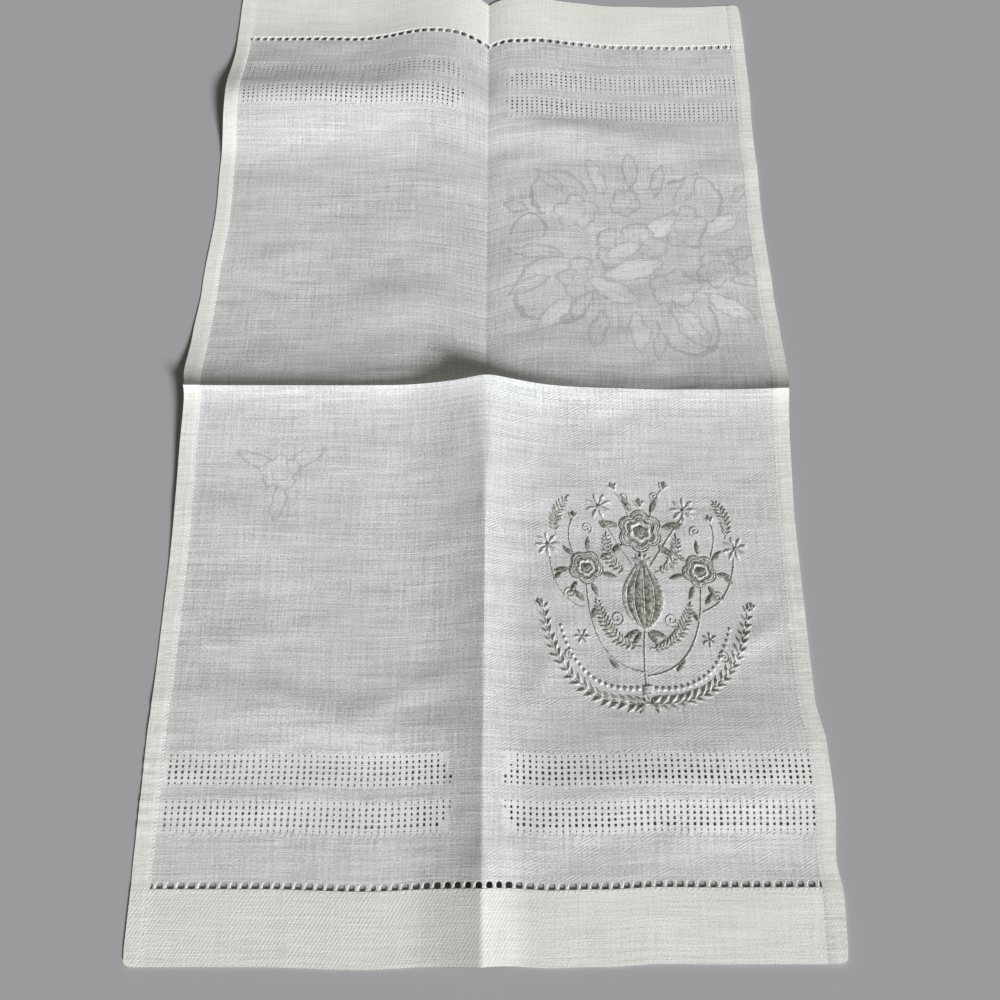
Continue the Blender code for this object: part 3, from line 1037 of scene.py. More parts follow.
# %% Sew the ticks
TICK_SEED = 11
TICK_BEYOND = 2.1 * MM
TICK_LENGTH = 1.05 * MM
TICK_LEANS_DEG = (48, 66)
TICK_LENGTHS = (0.7, 1.1)
TICK_SHIFT = 0.2 * MM


def sew_ticks():
    random = np.random.default_rng(TICK_SEED)
    places = []
    for end in (-1, 1):
        for band, outwards in zip(BANDS, (-1, 1)):
            last = band.first_row if outwards < 0 else band.first_row + ROW_PITCH * (len(band.openness) - 1)
            for across in hole_columns:
                lean = math.radians(random.uniform(*TICK_LEANS_DEG))
                half = TICK_LENGTH * random.uniform(*TICK_LENGTHS)
                along = (last + outwards * TICK_BEYOND) * end + random.uniform(-1, 1) * TICK_SHIFT
                places.append(Place(across, along, lean, half, 1.0, 0.9))
    ticks = copies("openwork_ticks", thread_by_sections("tick", in_mm(SIDE_STITCH), 5), places)
    lay_on_cloth(ticks)
    print("Openwork ticks:", len(places))
    return ticks


openwork_ticks = sew_ticks()

# %% [markdown]
# ## Stitches of the embroidery
#
# A machine embroiders in two ways. Leaves and petals are satin stitch: threads laid side by side from
# one edge of the shape to the other, so that the shape bulges and shines. Stems are stem stitch: short
# threads that overlap along a line. One short arched thread serves for both. The real threads are
# 0.3 mm apart, and are drawn at twice that so that a picture can still show them.

# %% Tools for satin and stem stitch
SATIN_PITCH = 0.6 * MM
PETAL_PITCH = 0.75 * MM
STEM_PITCH = 1.15 * MM
LINE_POINTS = 240
SCALLOP_DEPTH = 0.2
CURL_TURNS = 1.4
CURL_WINDS_IN = 0.82
SATIN_EDGE = 0.15 * MM
SHORTEST_SATIN = 0.2 * MM
STEM_LEAN_DEG = 14
STEM_OVERLAP = 0.95
LeafKind = namedtuple("LeafKind", "length width slant_deg fullness")
SATIN_THREAD = (
    Section(-1.0, 0.02, 0.22, 0.10),
    Section(-0.55, 0.46, 0.31, 0.26),
    Section(0.55, 0.46, 0.31, 0.26),
    Section(1.0, 0.02, 0.22, 0.10),
)
STEM_THREAD = (
    Section(-1.0, 0.05, 0.16, 0.10),
    Section(0.0, 0.42, 0.36, 0.34),
    Section(1.0, 0.05, 0.16, 0.10),
)


def satin_leaf(name, kind):
    """A leaf of satin stitch along X, from its foot at 0: slanted threads from one edge to the other."""
    slant = math.radians(kind.slant_deg)
    places = []
    for along_leaf in np.arange(SATIN_PITCH / 2, kind.length * MM, SATIN_PITCH):
        share = along_leaf / (kind.length * MM)
        half = kind.width * MM / 2 * math.sin(math.pi * share ** kind.fullness) + SATIN_EDGE
        bulge = 0.6 + 0.6 * math.sin(math.pi * share)
        places.append(Place(along_leaf, 0, slant, half / math.sin(slant), 1.0, bulge))
    return copies_of_thread(name, SATIN_THREAD, places)


def copies_of_thread(name, sections, places):
    """Copies of a four-sided embroidery thread."""
    return copies(name, thread_by_sections(name + "_thread", in_mm(sections), 4), places)


def satin_between(left, right):
    """Places for satin threads that cross from one line to another, point by point."""
    places = []
    for start, stop in zip(left, right):
        middle = (start + stop) / 2
        reach = stop - start
        half = float(np.hypot(*reach)) / 2
        if half > SHORTEST_SATIN:
            places.append(Place(middle[0], middle[1], math.atan2(reach[1], reach[0]), half, 1.0, 1.2))
    return places


def even_line(line):
    """Even points along a drawn line, one for each stem stitch, with their directions."""
    run = np.concatenate([[0], np.cumsum(np.hypot(*np.diff(line, axis=0).T))])
    even = np.linspace(0, run[-1], max(round(run[-1] / STEM_PITCH), 2) + 1)
    points = np.stack([np.interp(even, run, line[:, 0]), np.interp(even, run, line[:, 1])], axis=-1)
    slope = np.gradient(points, axis=0)
    return points, np.arctan2(slope[:, 1], slope[:, 0])


def bend(start, towards, end):
    """A stem that leaves its start towards one point and comes to its end."""
    start, towards, end = (np.array(point) * MM for point in (start, towards, end))
    share = np.linspace(0, 1, LINE_POINTS)[:, None]
    return start * (1 - share) ** 2 + towards * 2 * share * (1 - share) + end * share ** 2


def scalloped_ring(middle, radius, lobes, turn):
    """A closed line around a middle, with an inward cusp between its lobes."""
    around = np.linspace(0, 2 * math.pi, LINE_POINTS)
    reach = radius * (1 - SCALLOP_DEPTH * (1 - np.abs(np.cos((around - turn) * lobes / 2))))
    return np.stack([middle[0] + reach * np.cos(around), middle[1] + reach * np.sin(around)], axis=-1)


def curl(middle, radius, start_deg, hand):
    """A tendril's end: a spiral that winds inwards, to the left for a hand of 1 and to the right for -1."""
    share = np.linspace(0, 1, LINE_POINTS)
    around = math.radians(start_deg) + hand * CURL_TURNS * 2 * math.pi * share
    reach = radius * (1 - CURL_WINDS_IN * share)
    return np.stack([middle[0] + reach * np.cos(around), middle[1] + reach * np.sin(around)], axis=-1)


def stem_places(line, width=1.0):
    """Places for stem stitch along a line: each thread leans a little and overlaps the next."""
    points, turns = even_line(line)
    return [
        Place(x, y, turn + math.radians(STEM_LEAN_DEG), STEM_PITCH * STEM_OVERLAP, width, 1.0)
        for (x, y), turn in zip(points, turns)
    ]


# %% [markdown]
# ## The layout of the posy
#
# The near right quarter carries the towel's show piece, a bouquet in pale taupe thread. This one is
# laid out anew: a ribbed seed pod in dense satin stands between two leafy laurel branches, with blooms
# and daisies on bowed stems above it. Everything is placed in millimetres from the posy's middle, from
# small tables, so that a flower is moved by changing one row.

# %% Lay out the posy
POSY_ACROSS = 89 * MM
POSY_ALONG = -122 * MM
POSY_SEED = 3
Stem = namedtuple("Stem", "start towards end width")
LAUREL_STEMS = (
    Stem((3, -61), (-48, -63), (-55, -8), 1.0),
    Stem((-3, -61), (48, -65), (57, -10), 1.0),
)
BEAD_LINES = (
    Stem((-5, -53), (-38, -54), (-46, -16), 1.0),
    Stem((5, -53), (38, -55), (47, -18), 1.0),
)
FLOWER_STEMS = (
    Stem((0, -58), (-2, -40), (0, -22), 1.5),
    Stem((-1, -44), (-30, -40), (-31, 8), 1.1),
    Stem((1, -46), (32, -42), (32, 6), 1.1),
    Stem((-5, 16), (-14, 30), (-22, 46), 0.9),
    Stem((5, 16), (14, 30), (24, 44), 0.9),
    Stem((-33, -8), (-50, -2), (-51, 24), 0.8),
    Stem((33, -10), (50, -4), (52, 22), 0.8),
    Stem((-6, 44), (-8, 52), (-14, 60), 0.8),
    Stem((6, 44), (8, 54), (13, 61), 0.8),
    Stem((-38, 24), (-42, 34), (-38, 43), 0.8),
    Stem((39, 22), (43, 32), (40, 41), 0.8),
)
FRONDS = (
    Stem((-3, -30), (-18, -30), (-25, -6), 0.8),
    Stem((3, -31), (19, -31), (25, -8), 0.8),
    Stem((-8, 12), (-20, 16), (-19, 32), 0.8),
    Stem((8, 12), (20, 15), (20, 31), 0.8),
    Stem((-47, 34), (-50, 44), (-42, 54), 0.8),
    Stem((48, 32), (51, 42), (44, 52), 0.8),
)
Curl = namedtuple("Curl", "middle radius start_deg hand")
CURLS = (
    Curl((-15, -14), 4.2, 250, 1), Curl((15, -15), 4.2, 290, -1),
    Curl((-40, 0), 3.4, 200, -1), Curl((41, -2), 3.4, 340, 1),
    Curl((-9, 56), 2.8, 300, 1), Curl((9, 57), 2.8, 240, -1),
    Curl((-30, 38), 3.2, 300, 1), Curl((31, 36), 3.2, 240, -1),
    Curl((-41, -34), 3.2, 60, 1), Curl((42, -36), 3.2, 120, -1),
)
Flower = namedtuple("Flower", "across along petals size turn_deg")
BLOOMS = (
    Flower(0, 36, 6, 12.5, 90),
    Flower(-31, 15, 5, 9.5, 60),
    Flower(32, 13, 5, 9.5, 120),
)
DAISIES = (
    Flower(-52, 28, 8, 0.8, 5),
    Flower(53, 26, 8, 0.8, 15),
    Flower(-23, 51, 8, 0.85, 20),
    Flower(25, 49, 8, 0.85, 0),
    Flower(-34, -24, 6, 0.5, 0),
    Flower(35, -26, 6, 0.5, 30),
)
Leaf = namedtuple("Leaf", "across along turn_deg size")
LOOSE_LEAVES = (
    Leaf(-3, -21, 205, 0.9), Leaf(3, -21, -25, 0.9), Leaf(-2, -22, 236, 0.8), Leaf(2, -22, -56, 0.8),
    Leaf(-29, -14, 64, 0.7), Leaf(30, -16, 116, 0.7), Leaf(-33, -4, 128, 0.8), Leaf(34, -6, 52, 0.8),
    Leaf(-49, 8, 40, 0.6), Leaf(50, 6, 140, 0.6), Leaf(-2, -58, 250, 0.8),
    Leaf(2, -58, 290, 0.8), Leaf(-18, 38, 146, 0.6), Leaf(19, 37, 34, 0.6), Leaf(-15, -42, 130, 0.7),
    Leaf(16, -43, 50, 0.7),
)
BUDS = (
    Leaf(-14, 60, 112, 1.0), Leaf(13, 61, 66, 1.0), Leaf(-38, 43, 80, 0.9), Leaf(40, 41, 100, 0.9),
    Leaf(-57, -8, 96, 0.9), Leaf(59, -10, 84, 0.9), Leaf(0, 50, 90, 1.1),
)
POD_HALF_HEIGHT = 20 * MM
POD_HALF_WIDTH = 11 * MM
POD_RIBS = 6
CROWN = tuple(Leaf(0, 17, turn_deg, 0.8) for turn_deg in (30, 60, 90, 120, 150))
SEPAL_TURNS_DEG = (-34, 34)
WHORL_LEAVES = 7
WHORL_REACH = 1.04
WHORL_SHIFT_DEG = 24
PETAL_REACH = 1.6
HEART_SIZE = 1.5
BEAD_SIZES = np.linspace(1.25, 0.75, 30)
STITCHES_PER_BEAD = 3
VEIN_REACH = 3.4 * MM
VEIN_LENGTH = 3.0 * MM
TIE_PLACES = np.arange(-56, -51.5, 0.6) * MM
Rings = namedtuple("Rings", "rim pale outer middle inner heart")
BLOOM_RINGS = Rings(1.0, 0.90, (0.66, 0.84), 0.60, (0.34, 0.55), 0.30)
LOOSE_LEAF = LeafKind(11, 3.8, 62, 0.75)
BUD = LeafKind(5.5, 3.2, 66, 0.9)
FROND_LEAF = LeafKind(4.8, 1.6, 62, 0.75)
LAUREL_LEAF = LeafKind(7.0, 2.2, 62, 0.75)
DAISY_PETAL = LeafKind(7.5, 2.7, 70, 1.2)
CROWN_LEAF = LeafKind(8, 3.0, 62, 0.75)
SEPAL = LeafKind(5.0, 1.4, 62, 0.75)


def pod_half_width(height):
    """Half width of the seed pod at a height from its middle: a round belly and a narrow neck."""
    share = (height + POD_HALF_HEIGHT) / (2 * POD_HALF_HEIGHT)
    belly = np.sin(np.pi * share ** 0.85) ** 0.7
    neck = 0.30 * ease(share, 0.70, 1.0)
    return POD_HALF_WIDTH * np.maximum(belly * (1 - 0.35 * ease(share, 0.55, 1.0)), neck)


def pod_lines(share):
    """One line up the pod, from its left side (-1) through its middle (0) to its right side (1)."""
    heights = np.arange(-POD_HALF_HEIGHT, POD_HALF_HEIGHT, SATIN_PITCH)
    return np.stack([pod_half_width(heights) * math.sin(share * math.pi / 2), heights], axis=-1)


def leaf_copies(name, kind, rows):
    """Satin leaves of one kind at rows of (across, along, turn, size), in metres and radians."""
    return copies(name, satin_leaf(name, kind), [Place(*row, row[3], 1.0) for row in rows])


def rows_of(leaves):
    """The rows of a table of leaves, in metres and radians."""
    return [(leaf.across * MM, leaf.along * MM, math.radians(leaf.turn_deg), leaf.size) for leaf in leaves]


def drawn(stem):
    return bend(stem.start, stem.towards, stem.end)


LAUREL_STITCHES_PER_PAIR = 4
LAUREL_TAPER = 0.35
FROND_STITCHES_PER_PAIR = 2
FROND_LEANS_DEG = (42, 56)


def laurel_leaves(stem, random):
    """Leaf rows for one branch, in pairs that grow smaller towards its tip."""
    points, turns = even_line(drawn(stem))
    rows = []
    for index in range(LAUREL_STITCHES_PER_PAIR, len(points), LAUREL_STITCHES_PER_PAIR):
        size = 1.0 - LAUREL_TAPER * index / len(points)
        for turn in (random.uniform(34, 48), -random.uniform(30, 44)):
            rows.append((points[index][0], points[index][1], turns[index] + math.radians(turn), size))
    rows.append((points[-1][0], points[-1][1], turns[-1], 0.7))
    return rows


def frond_leaves(stem, random):
    """Rows of small leaves in pairs along a frond, with one at its tip."""
    points, turns = even_line(drawn(stem))
    rows = []
    for index in range(FROND_STITCHES_PER_PAIR, len(points), FROND_STITCHES_PER_PAIR):
        size = math.sin(math.pi * (0.12 + 0.80 * index / len(points))) ** 0.6
        for turn in (random.uniform(*FROND_LEANS_DEG), -random.uniform(*FROND_LEANS_DEG)):
            rows.append((points[index][0], points[index][1], turns[index] + math.radians(turn), size))
    rows.append((points[-1][0], points[-1][1], turns[-1], 0.8))
    return rows


def around_flower(flower, count, reach, size, shift_deg=0.0):
    """Rows of petals or leaves that point outwards from a flower, at a reach from its middle."""
    first = math.radians(flower.turn_deg + shift_deg)
    turns = [first + number * 2 * math.pi / count for number in range(count)]
    across, along = flower.across * MM, flower.along * MM
    return [(across + reach * math.cos(turn), along + reach * math.sin(turn), turn, size) for turn in turns]


def berry(name):
    """A French knot: a small round dome of thread."""
    dome = (Section(-1.0, 0.0, 0.25, 0.2), Section(-0.6, 0.25, 0.85, 0.5), Section(0.0, 0.35, 1.05, 0.65),
            Section(0.6, 0.25, 0.85, 0.5), Section(1.0, 0.0, 0.25, 0.2))
    return thread_by_sections(name, in_mm(dome), 6)


def ring_of(flower, share):
    """A line around a bloom, at a share of its size."""
    middle = (flower.across * MM, flower.along * MM)
    return scalloped_ring(middle, flower.size * share * MM, flower.petals, math.radians(flower.turn_deg))


def petal_threads(flower, inner, outer):
    """Satin threads that cross a bloom's ring of petals from its inner line to its outer one."""
    step = max(round(LINE_POINTS * PETAL_PITCH / (2 * math.pi * flower.size * outer * MM)), 1)
    return satin_between(ring_of(flower, inner)[:-1:step], ring_of(flower, outer)[:-1:step])


def knot(across, along, size):
    return Place(across, along, 0.0, size * MM, size, 0.6 + 0.5 * size)


def bloom_stitches():
    """The blooms' places: dark rings and hearts, pale rings and inner petals, and the outer petals."""
    dark_lines, pale_lines, outer_petals, inner_petals, hearts = [], [], [], [], []
    for flower in BLOOMS:
        dark_lines += stem_places(ring_of(flower, BLOOM_RINGS.rim), 0.9)
        dark_lines += stem_places(ring_of(flower, BLOOM_RINGS.middle), 0.9)
        pale_lines += stem_places(ring_of(flower, BLOOM_RINGS.pale), 0.8)
        outer_petals += petal_threads(flower, *BLOOM_RINGS.outer)
        inner_petals += petal_threads(flower, *BLOOM_RINGS.inner)
        heart = ring_of(flower, BLOOM_RINGS.heart)
        hearts += satin_between(heart[:LINE_POINTS // 2:6], heart[:LINE_POINTS // 2 - 1:-6])
    return dark_lines, pale_lines, outer_petals, inner_petals, hearts


def pod_stitches():
    """The pod's dark middle panels, its paler outer panels, and its ribs."""
    ribs = [pod_lines(share) for share in np.linspace(-1, 1, POD_RIBS + 1)]
    panels = [satin_between(left, right) for left, right in zip(ribs[:-1], ribs[1:])]
    rib_threads = [place for line in ribs for place in stem_places(line, 1.2)]
    return sum(panels[1:-1], []), panels[0] + panels[-1], rib_threads


def stem_stitches():
    """Stem stitch along the branches, the flowers' stems, the fronds and the curls."""
    stems = []
    for stem in LAUREL_STEMS + FLOWER_STEMS + FRONDS:
        stems += stem_places(drawn(stem), stem.width)
    for row in CURLS:
        spiral = curl(np.array(row.middle) * MM, row.radius * MM, row.start_deg, row.hand)
        stems += stem_places(spiral, 0.8)
    return stems


def vein_places(leaves):
    """One dark thread along the middle of each laurel leaf."""
    places = []
    for across, along, turn, size in leaves:
        middle = (across + VEIN_REACH * size * math.cos(turn), along + VEIN_REACH * size * math.sin(turn))
        places.append(Place(*middle, turn, VEIN_LENGTH * size, 0.8, 2.0))
    return places


def bead_places():
    """Rows of knots that follow the laurel branches and grow smaller upwards."""
    beads = []
    for line in BEAD_LINES:
        points = even_line(drawn(line))[0][::STITCHES_PER_BEAD]
        beads += [knot(x, y, size) for (x, y), size in zip(points, BEAD_SIZES)]
    return beads


def join_colours(colours):
    """Joins the parts of each thread colour, moves them to the posy's place and lays them on the cloth."""
    posy = []
    for name, parts in colours.items():
        colour = join(name, parts)
        set_points(colour, get_points(colour) + (POSY_ACROSS, POSY_ALONG, 0))
        lay_on_cloth(colour)
        print(name, "has", count_triangles(colour), "triangles")
        posy.append(colour)
    return posy


def make_posy():
    """The posy in its three thread colours, as three pieces on the cloth."""
    random = np.random.default_rng(POSY_SEED)
    laurel = [row for stem in LAUREL_STEMS for row in laurel_leaves(stem, random)]
    fronds = [row for stem in FRONDS for row in frond_leaves(stem, random)]
    buds = rows_of(BUDS)
    sepals = [(*row[:2], row[2] + math.radians(turn), row[3]) for row in buds for turn in SEPAL_TURNS_DEG]
    whorls = [row for bloom in BLOOMS for row in around_flower(
        bloom, WHORL_LEAVES, bloom.size * WHORL_REACH * MM, bloom.size / 13, WHORL_SHIFT_DEG)]
    petals = [row for daisy in DAISIES for row in around_flower(
        daisy, daisy.petals, PETAL_REACH * MM * daisy.size, daisy.size)]
    daisy_hearts = [knot(daisy.across * MM, daisy.along * MM, HEART_SIZE * daisy.size) for daisy in DAISIES]
    tie = [Place(0, along, math.radians(8), 3.2 * MM, 1.0, 1.6) for along in TIE_PLACES]
    dark_lines, pale_lines, outer_petals, inner_petals, hearts = bloom_stitches()
    pod, pod_sides, rib_threads = pod_stitches()
    return join_colours({
        "posy_dark": [
            copies_of_thread("pod", SATIN_THREAD, pod + hearts),
            copies_of_thread("dark_lines", STEM_THREAD, dark_lines + vein_places(laurel)),
            leaf_copies("loose_leaves", LOOSE_LEAF, rows_of(LOOSE_LEAVES) + whorls),
            leaf_copies("buds", BUD, buds),
            copies("hearts", berry("heart"), daisy_hearts),
        ],
        "posy_middle": [
            leaf_copies("fronds", FROND_LEAF, fronds),
            copies_of_thread("stems", STEM_THREAD, stem_stitches()),
            copies_of_thread("outer_petals", SATIN_THREAD, outer_petals + pod_sides),
        ],
        "posy_pale": [
            leaf_copies("laurel_leaves", LAUREL_LEAF, laurel),
            leaf_copies("petals", DAISY_PETAL, petals),
            copies_of_thread("pale_lines", STEM_THREAD, pale_lines + rib_threads),
            copies_of_thread("inner_petals", SATIN_THREAD, inner_petals + tie),
            leaf_copies("crown", CROWN_LEAF, rows_of(CROWN)),
            leaf_copies("sepals", SEPAL, sepals),
            copies("beads", berry("bead"), bead_places()),
        ],
    })


posy = make_posy()

# %% [markdown]
# ## Linen
#
# The material is bleached flax, woven as damask: fine threads across and along, a few of them thicker
# than the rest. It gives the eye a cool, slightly mottled off-white with streaks along the threads, a
# soft sheen and no gloss. The broad mottle is partly painted shade of soft puckers. All patterns are read
# from the UV map, whose unit is a metre of cloth, so each scale is a real size. The real threads are
# 0.4 mm apart, and are drawn at about twice that.

# %% Tools for patterns on the cloth
Streak = namedtuple("Streak", "long thin seed detail")


def calculate(tree, operation, *values, clamp=False):
    """A Math node: each value is a number or a socket."""
    return add_node(tree, "Math", dict(enumerate(values)), operation=operation, use_clamp=clamp).outputs[0]


def times(tree, first, second, clamp=False):
    return calculate(tree, "MULTIPLY", first, second, clamp=clamp)


def plus(tree, first, second, clamp=False):
    return calculate(tree, "ADD", first, second, clamp=clamp)


def minus(tree, first, second, clamp=False):
    return calculate(tree, "SUBTRACT", first, second, clamp=clamp)


def times_plus(tree, value, factor, added, clamp=False):
    """A value times a factor, plus what is added."""
    return calculate(tree, "MULTIPLY_ADD", value, factor, added, clamp=clamp)


def unsigned(tree, value):
    return calculate(tree, "ABSOLUTE", value)


def cloth_place(tree):
    """The place on the flat cloth in metres, as a vector and as its parts across and along."""
    place = add_node(tree, "UVMap", uv_map="flat_cloth").outputs[0]
    parts = add_node(tree, "SeparateXYZ", {0: place})
    return place, parts.outputs[0], parts.outputs[1]


def streaks(tree, place, streak, turn_deg=0.0):
    """Noise drawn out into streaks, whose length and width are in millimetres."""
    turned = add_node(tree, "Mapping", {"Vector": place, "Rotation": (0, 0, math.radians(-turn_deg))})
    scaled = add_node(tree, "Mapping", {
        "Vector": turned.outputs[0], "Location": (streak.seed, streak.seed, 0),
        "Scale": (1 / (streak.long * MM), 1 / (streak.thin * MM), 1),
    })
    noise = add_node(tree, "TexNoise", {"Vector": scaled.outputs[0], "Scale": 1.0, "Detail": streak.detail})
    return noise.outputs[0]


def between(tree, value, low, high, soft):
    """1 where a value lies between two limits, and 0 outside them, with soft borders."""
    smooth = {"interpolation_type": "SMOOTHSTEP"}
    rising = add_node(tree, "MapRange", {0: value, 1: low - soft, 2: low + soft}, **smooth)
    falling = add_node(tree, "MapRange", {0: value, 1: high - soft, 2: high + soft, 3: 1.0, 4: 0.0}, **smooth)
    return times(tree, rising.outputs[0], falling.outputs[0])


def waves_of(tree, value, pitch):
    """Even ribs from -1 to 1, one to each pitch."""
    return calculate(tree, "SINE", times(tree, value, 2 * math.pi / pitch))


def add_up(tree, rows):
    """The sum of each pattern's distance from its own middle, times its weight."""
    total = 0.0
    for pattern, middle, weight in rows:
        total = times_plus(tree, minus(tree, pattern, middle), weight, total)
    return total


def new_material(name):
    material = bpy.data.materials.new(name)
    material.use_nodes = True
    tree = material.node_tree
    tree.nodes.clear()
    output = add_node(tree, "OutputMaterial")
    return material, tree, output


def mix_colours(tree, share, first, second):
    """A colour between two others: each is a hex code or a socket."""
    colours = [linear(colour) if isinstance(colour, str) else colour for colour in (first, second)]
    return add_node(tree, "Mix", {0: share, 6: colours[0], 7: colours[1]}, data_type="RGBA").outputs[2]


# %% [markdown]
# ## The woven bouquet
#
# Damask shows its figure because its threads lie the other way inside it, and so take the light
# differently. It could be an image, but a drawing made of nodes has no size at which it blurs. Each
# leaf, blossom and curved stem is one node group, placed by a table in millimetres. The groups are
# chained, so that each lays its shape over those before it, and a little noise bends all their lines.

# %% The woven bouquet
RIM_WIDTH = 0.8 * MM
SHADING_DEPTH = 3.6 * MM
FIGURE_DRAW_IN = 0.1 * MM
RIM_SHADE = 0.4
VEIN_SHARE = 0.7
WANDER_PITCH = 8 * MM
WANDER = 7 * MM
FIGURED_AREAS = (
    (Vector((0, 24)) * MM, Vector((180, 194)) * MM),
    (Vector((-150, -96)) * MM, Vector((-84, -24)) * MM),
)
Figure = namedtuple("Figure", "shape across along turn_deg length width tone")
FIGURES = (
    Figure("arc", 44, 76, 200, 27, 24, -0.5),
    Figure("arc", 130, 142, 20, 22, 20, -0.5),
    Figure("arc", 46, 146, 120, 20, 17, -0.5),
    Figure("arc", 122, 52, 290, 24, 18, -0.5),
    Figure("arc", 26, 120, 80, 13, 11, -0.5),
    Figure("leaf", 30, 104, 172, 18, 5, -0.2),
    Figure("leaf", 26, 80, 200, 15, 4.5, -0.4),
    Figure("leaf", 42, 58, 226, 17, 6, 0.5),
    Figure("leaf", 58, 66, 240, 14, 5, -0.3),
    Figure("leaf", 68, 48, 254, 16, 5.5, -0.4),
    Figure("leaf", 92, 46, 275, 15, 6, 0.5),
    Figure("leaf", 104, 36, 262, 12, 4, -0.3),
    Figure("leaf", 124, 50, 304, 20, 7.5, -0.2),
    Figure("leaf", 150, 64, 330, 17, 6, 0.5),
    Figure("leaf", 160, 84, 352, 12, 4.5, -0.4),
    Figure("leaf", 160, 104, 12, 13, 5, -0.5),
    Figure("leaf", 150, 126, 34, 16, 6, 0.4),
    Figure("leaf", 128, 154, 58, 15, 5, -0.3),
    Figure("leaf", 110, 160, 76, 14, 4, -0.4),
    Figure("leaf", 92, 168, 92, 15, 5, -0.2),
    Figure("leaf", 70, 162, 108, 15, 5, 0.4),
    Figure("leaf", 40, 158, 136, 12, 4, -0.3),
    Figure("leaf", 18, 140, 150, 10, 3.5, -0.4),
    Figure("leaf", 164, 150, 50, 9, 3.5, -0.3),
    Figure("blossom", 56, 134, 20, 15, 13, -0.2),
    Figure("blossom", 144, 92, 50, 15, 13, -0.4),
    Figure("blossom", 126, 124, 80, 17, 15, -0.5),
    Figure("leaf", 108, 122, 40, 17, 7, 0.6),
    Figure("blossom", 60, 86, 35, 18, 14, -0.4),
    Figure("leaf", 78, 76, 330, 18, 7, 0.7),
    Figure("blossom", 116, 78, 10, 17, 14, -0.2),
    Figure("blossom", 90, 108, 0, 24, 19, -0.4),
    Figure("leaf", 92, 92, 14, 20, 7, 0.8),
    Figure("leaf", 86, 106, 200, 13, 6, 0.5),
    Figure("blossom", 88, 142, 60, 11, 10, -0.3),
    Figure("leaf", -132, -44, 160, 12, 4, -0.1),
    Figure("leaf", -104, -44, 25, 12, 4, -0.1),
    Figure("leaf", -118, -70, 262, 11, 4, -0.1),
    Figure("blossom", -118, -52, 15, 12, 11, -0.05),
)


LEAF_VEIN = -7.0
PETAL_GAP = -5.0
HEART_RING = -16.0
STEM_HALF_WIDTH = 0.035


def leaf_drawing(tree, along_leaf, beside):
    """How far inside a pointed leaf a place is, and how near to its vein."""
    beside = unsigned(tree, beside)
    lens = minus(tree, 1.0, calculate(tree, "POWER", unsigned(tree, along_leaf), 2.0))
    return minus(tree, lens, beside), times_plus(tree, beside, LEAF_VEIN, 1.0)


def from_own_middle(tree, x, y):
    return calculate(tree, "SQRT", times_plus(tree, x, x, times(tree, y, y)))


def blossom_drawing(tree, x, y):
    """How far inside a five-petalled blossom a place is, and how near to the lines between its petals."""
    reach = from_own_middle(tree, x, y)
    turn = times(tree, calculate(tree, "ARCTAN2", y, x), 2.5)
    lobes = unsigned(tree, calculate(tree, "COSINE", turn))
    inside = minus(tree, times_plus(tree, lobes, 0.24, 0.76), reach)
    gaps = times_plus(tree, lobes, PETAL_GAP, 1.0)
    from_heart = unsigned(tree, minus(tree, reach, times_plus(tree, lobes, 0.14, 0.34)))
    return inside, calculate(tree, "MAXIMUM", gaps, times_plus(tree, from_heart, HEART_RING, 1.0))


def arc_drawing(tree, x, y):
    """How far inside a curved stem, three quarters of a ring, a place is. It has no vein."""
    from_line = unsigned(tree, minus(tree, from_own_middle(tree, x, y), 1.0))
    return calculate(tree, "MINIMUM", minus(tree, STEM_HALF_WIDTH, from_line), plus(tree, x, 0.3)), 0.0


def add_sockets(tree, way, kind, names):
    for name in names:
        tree.interface.new_socket(name, in_out=way, socket_type=kind)


def figure_group(name, drawing):
    """A node group that lays one shape over those below it, and passes on the place, body and lines."""
    tree = bpy.data.node_groups.new(name, "ShaderNodeTree")
    add_sockets(tree, "INPUT", "NodeSocketVector", ("Place", "Middle", "Turn", "Size"))
    add_sockets(tree, "INPUT", "NodeSocketFloat", ("Tone", "Body", "Lines"))
    add_sockets(tree, "OUTPUT", "NodeSocketFloat", ("Body", "Lines"))
    add_sockets(tree, "OUTPUT", "NodeSocketVector", ("Place",))
    given = tree.nodes.new("NodeGroupInput").outputs
    results = tree.nodes.new("NodeGroupOutput").inputs
    own = add_node(tree, "Mapping", {
        "Vector": given["Place"], "Location": given["Middle"],
        "Rotation": given["Turn"], "Scale": given["Size"],
    }, vector_type="TEXTURE")
    parts = add_node(tree, "SeparateXYZ", {0: own.outputs[0]}).outputs
    sizes = add_node(tree, "SeparateXYZ", {0: given["Size"]}).outputs
    depth, vein = drawing(tree, parts[0], parts[1])
    smaller = calculate(tree, "MINIMUM", sizes[0], sizes[1])
    depth = calculate(tree, "DIVIDE", times(tree, depth, smaller), RIM_WIDTH)
    inside = plus(tree, depth, 0.5, clamp=True)
    # Painted shade: each woven shape is darker at its rim and lighter towards its middle, as if it were
    # rounded.
    shading = minus(tree, times(tree, depth, RIM_WIDTH / SHADING_DEPTH, clamp=True), RIM_SHADE)
    tone = plus(tree, given["Tone"], shading)
    rim = minus(tree, 1.0, unsigned(tree, depth), clamp=True)
    vein = times(tree, plus(tree, vein, 0.0, clamp=True), inside)
    own_lines = calculate(tree, "MAXIMUM", rim, times(tree, vein, VEIN_SHARE))
    uncovered = minus(tree, 1.0, inside)
    lines = calculate(tree, "MAXIMUM", times(tree, given["Lines"], uncovered), own_lines)
    drawn_in = add_node(tree, "VectorMath", {
        0: times(tree, inside, FIGURE_DRAW_IN), 1: given["Place"],
    }, operation="ADD")
    body = times_plus(tree, given["Body"], uncovered, times(tree, tone, inside))
    tree.links.new(body, results["Body"])
    tree.links.new(lines, results["Lines"])
    tree.links.new(drawn_in.outputs[0], results["Place"])
    return tree


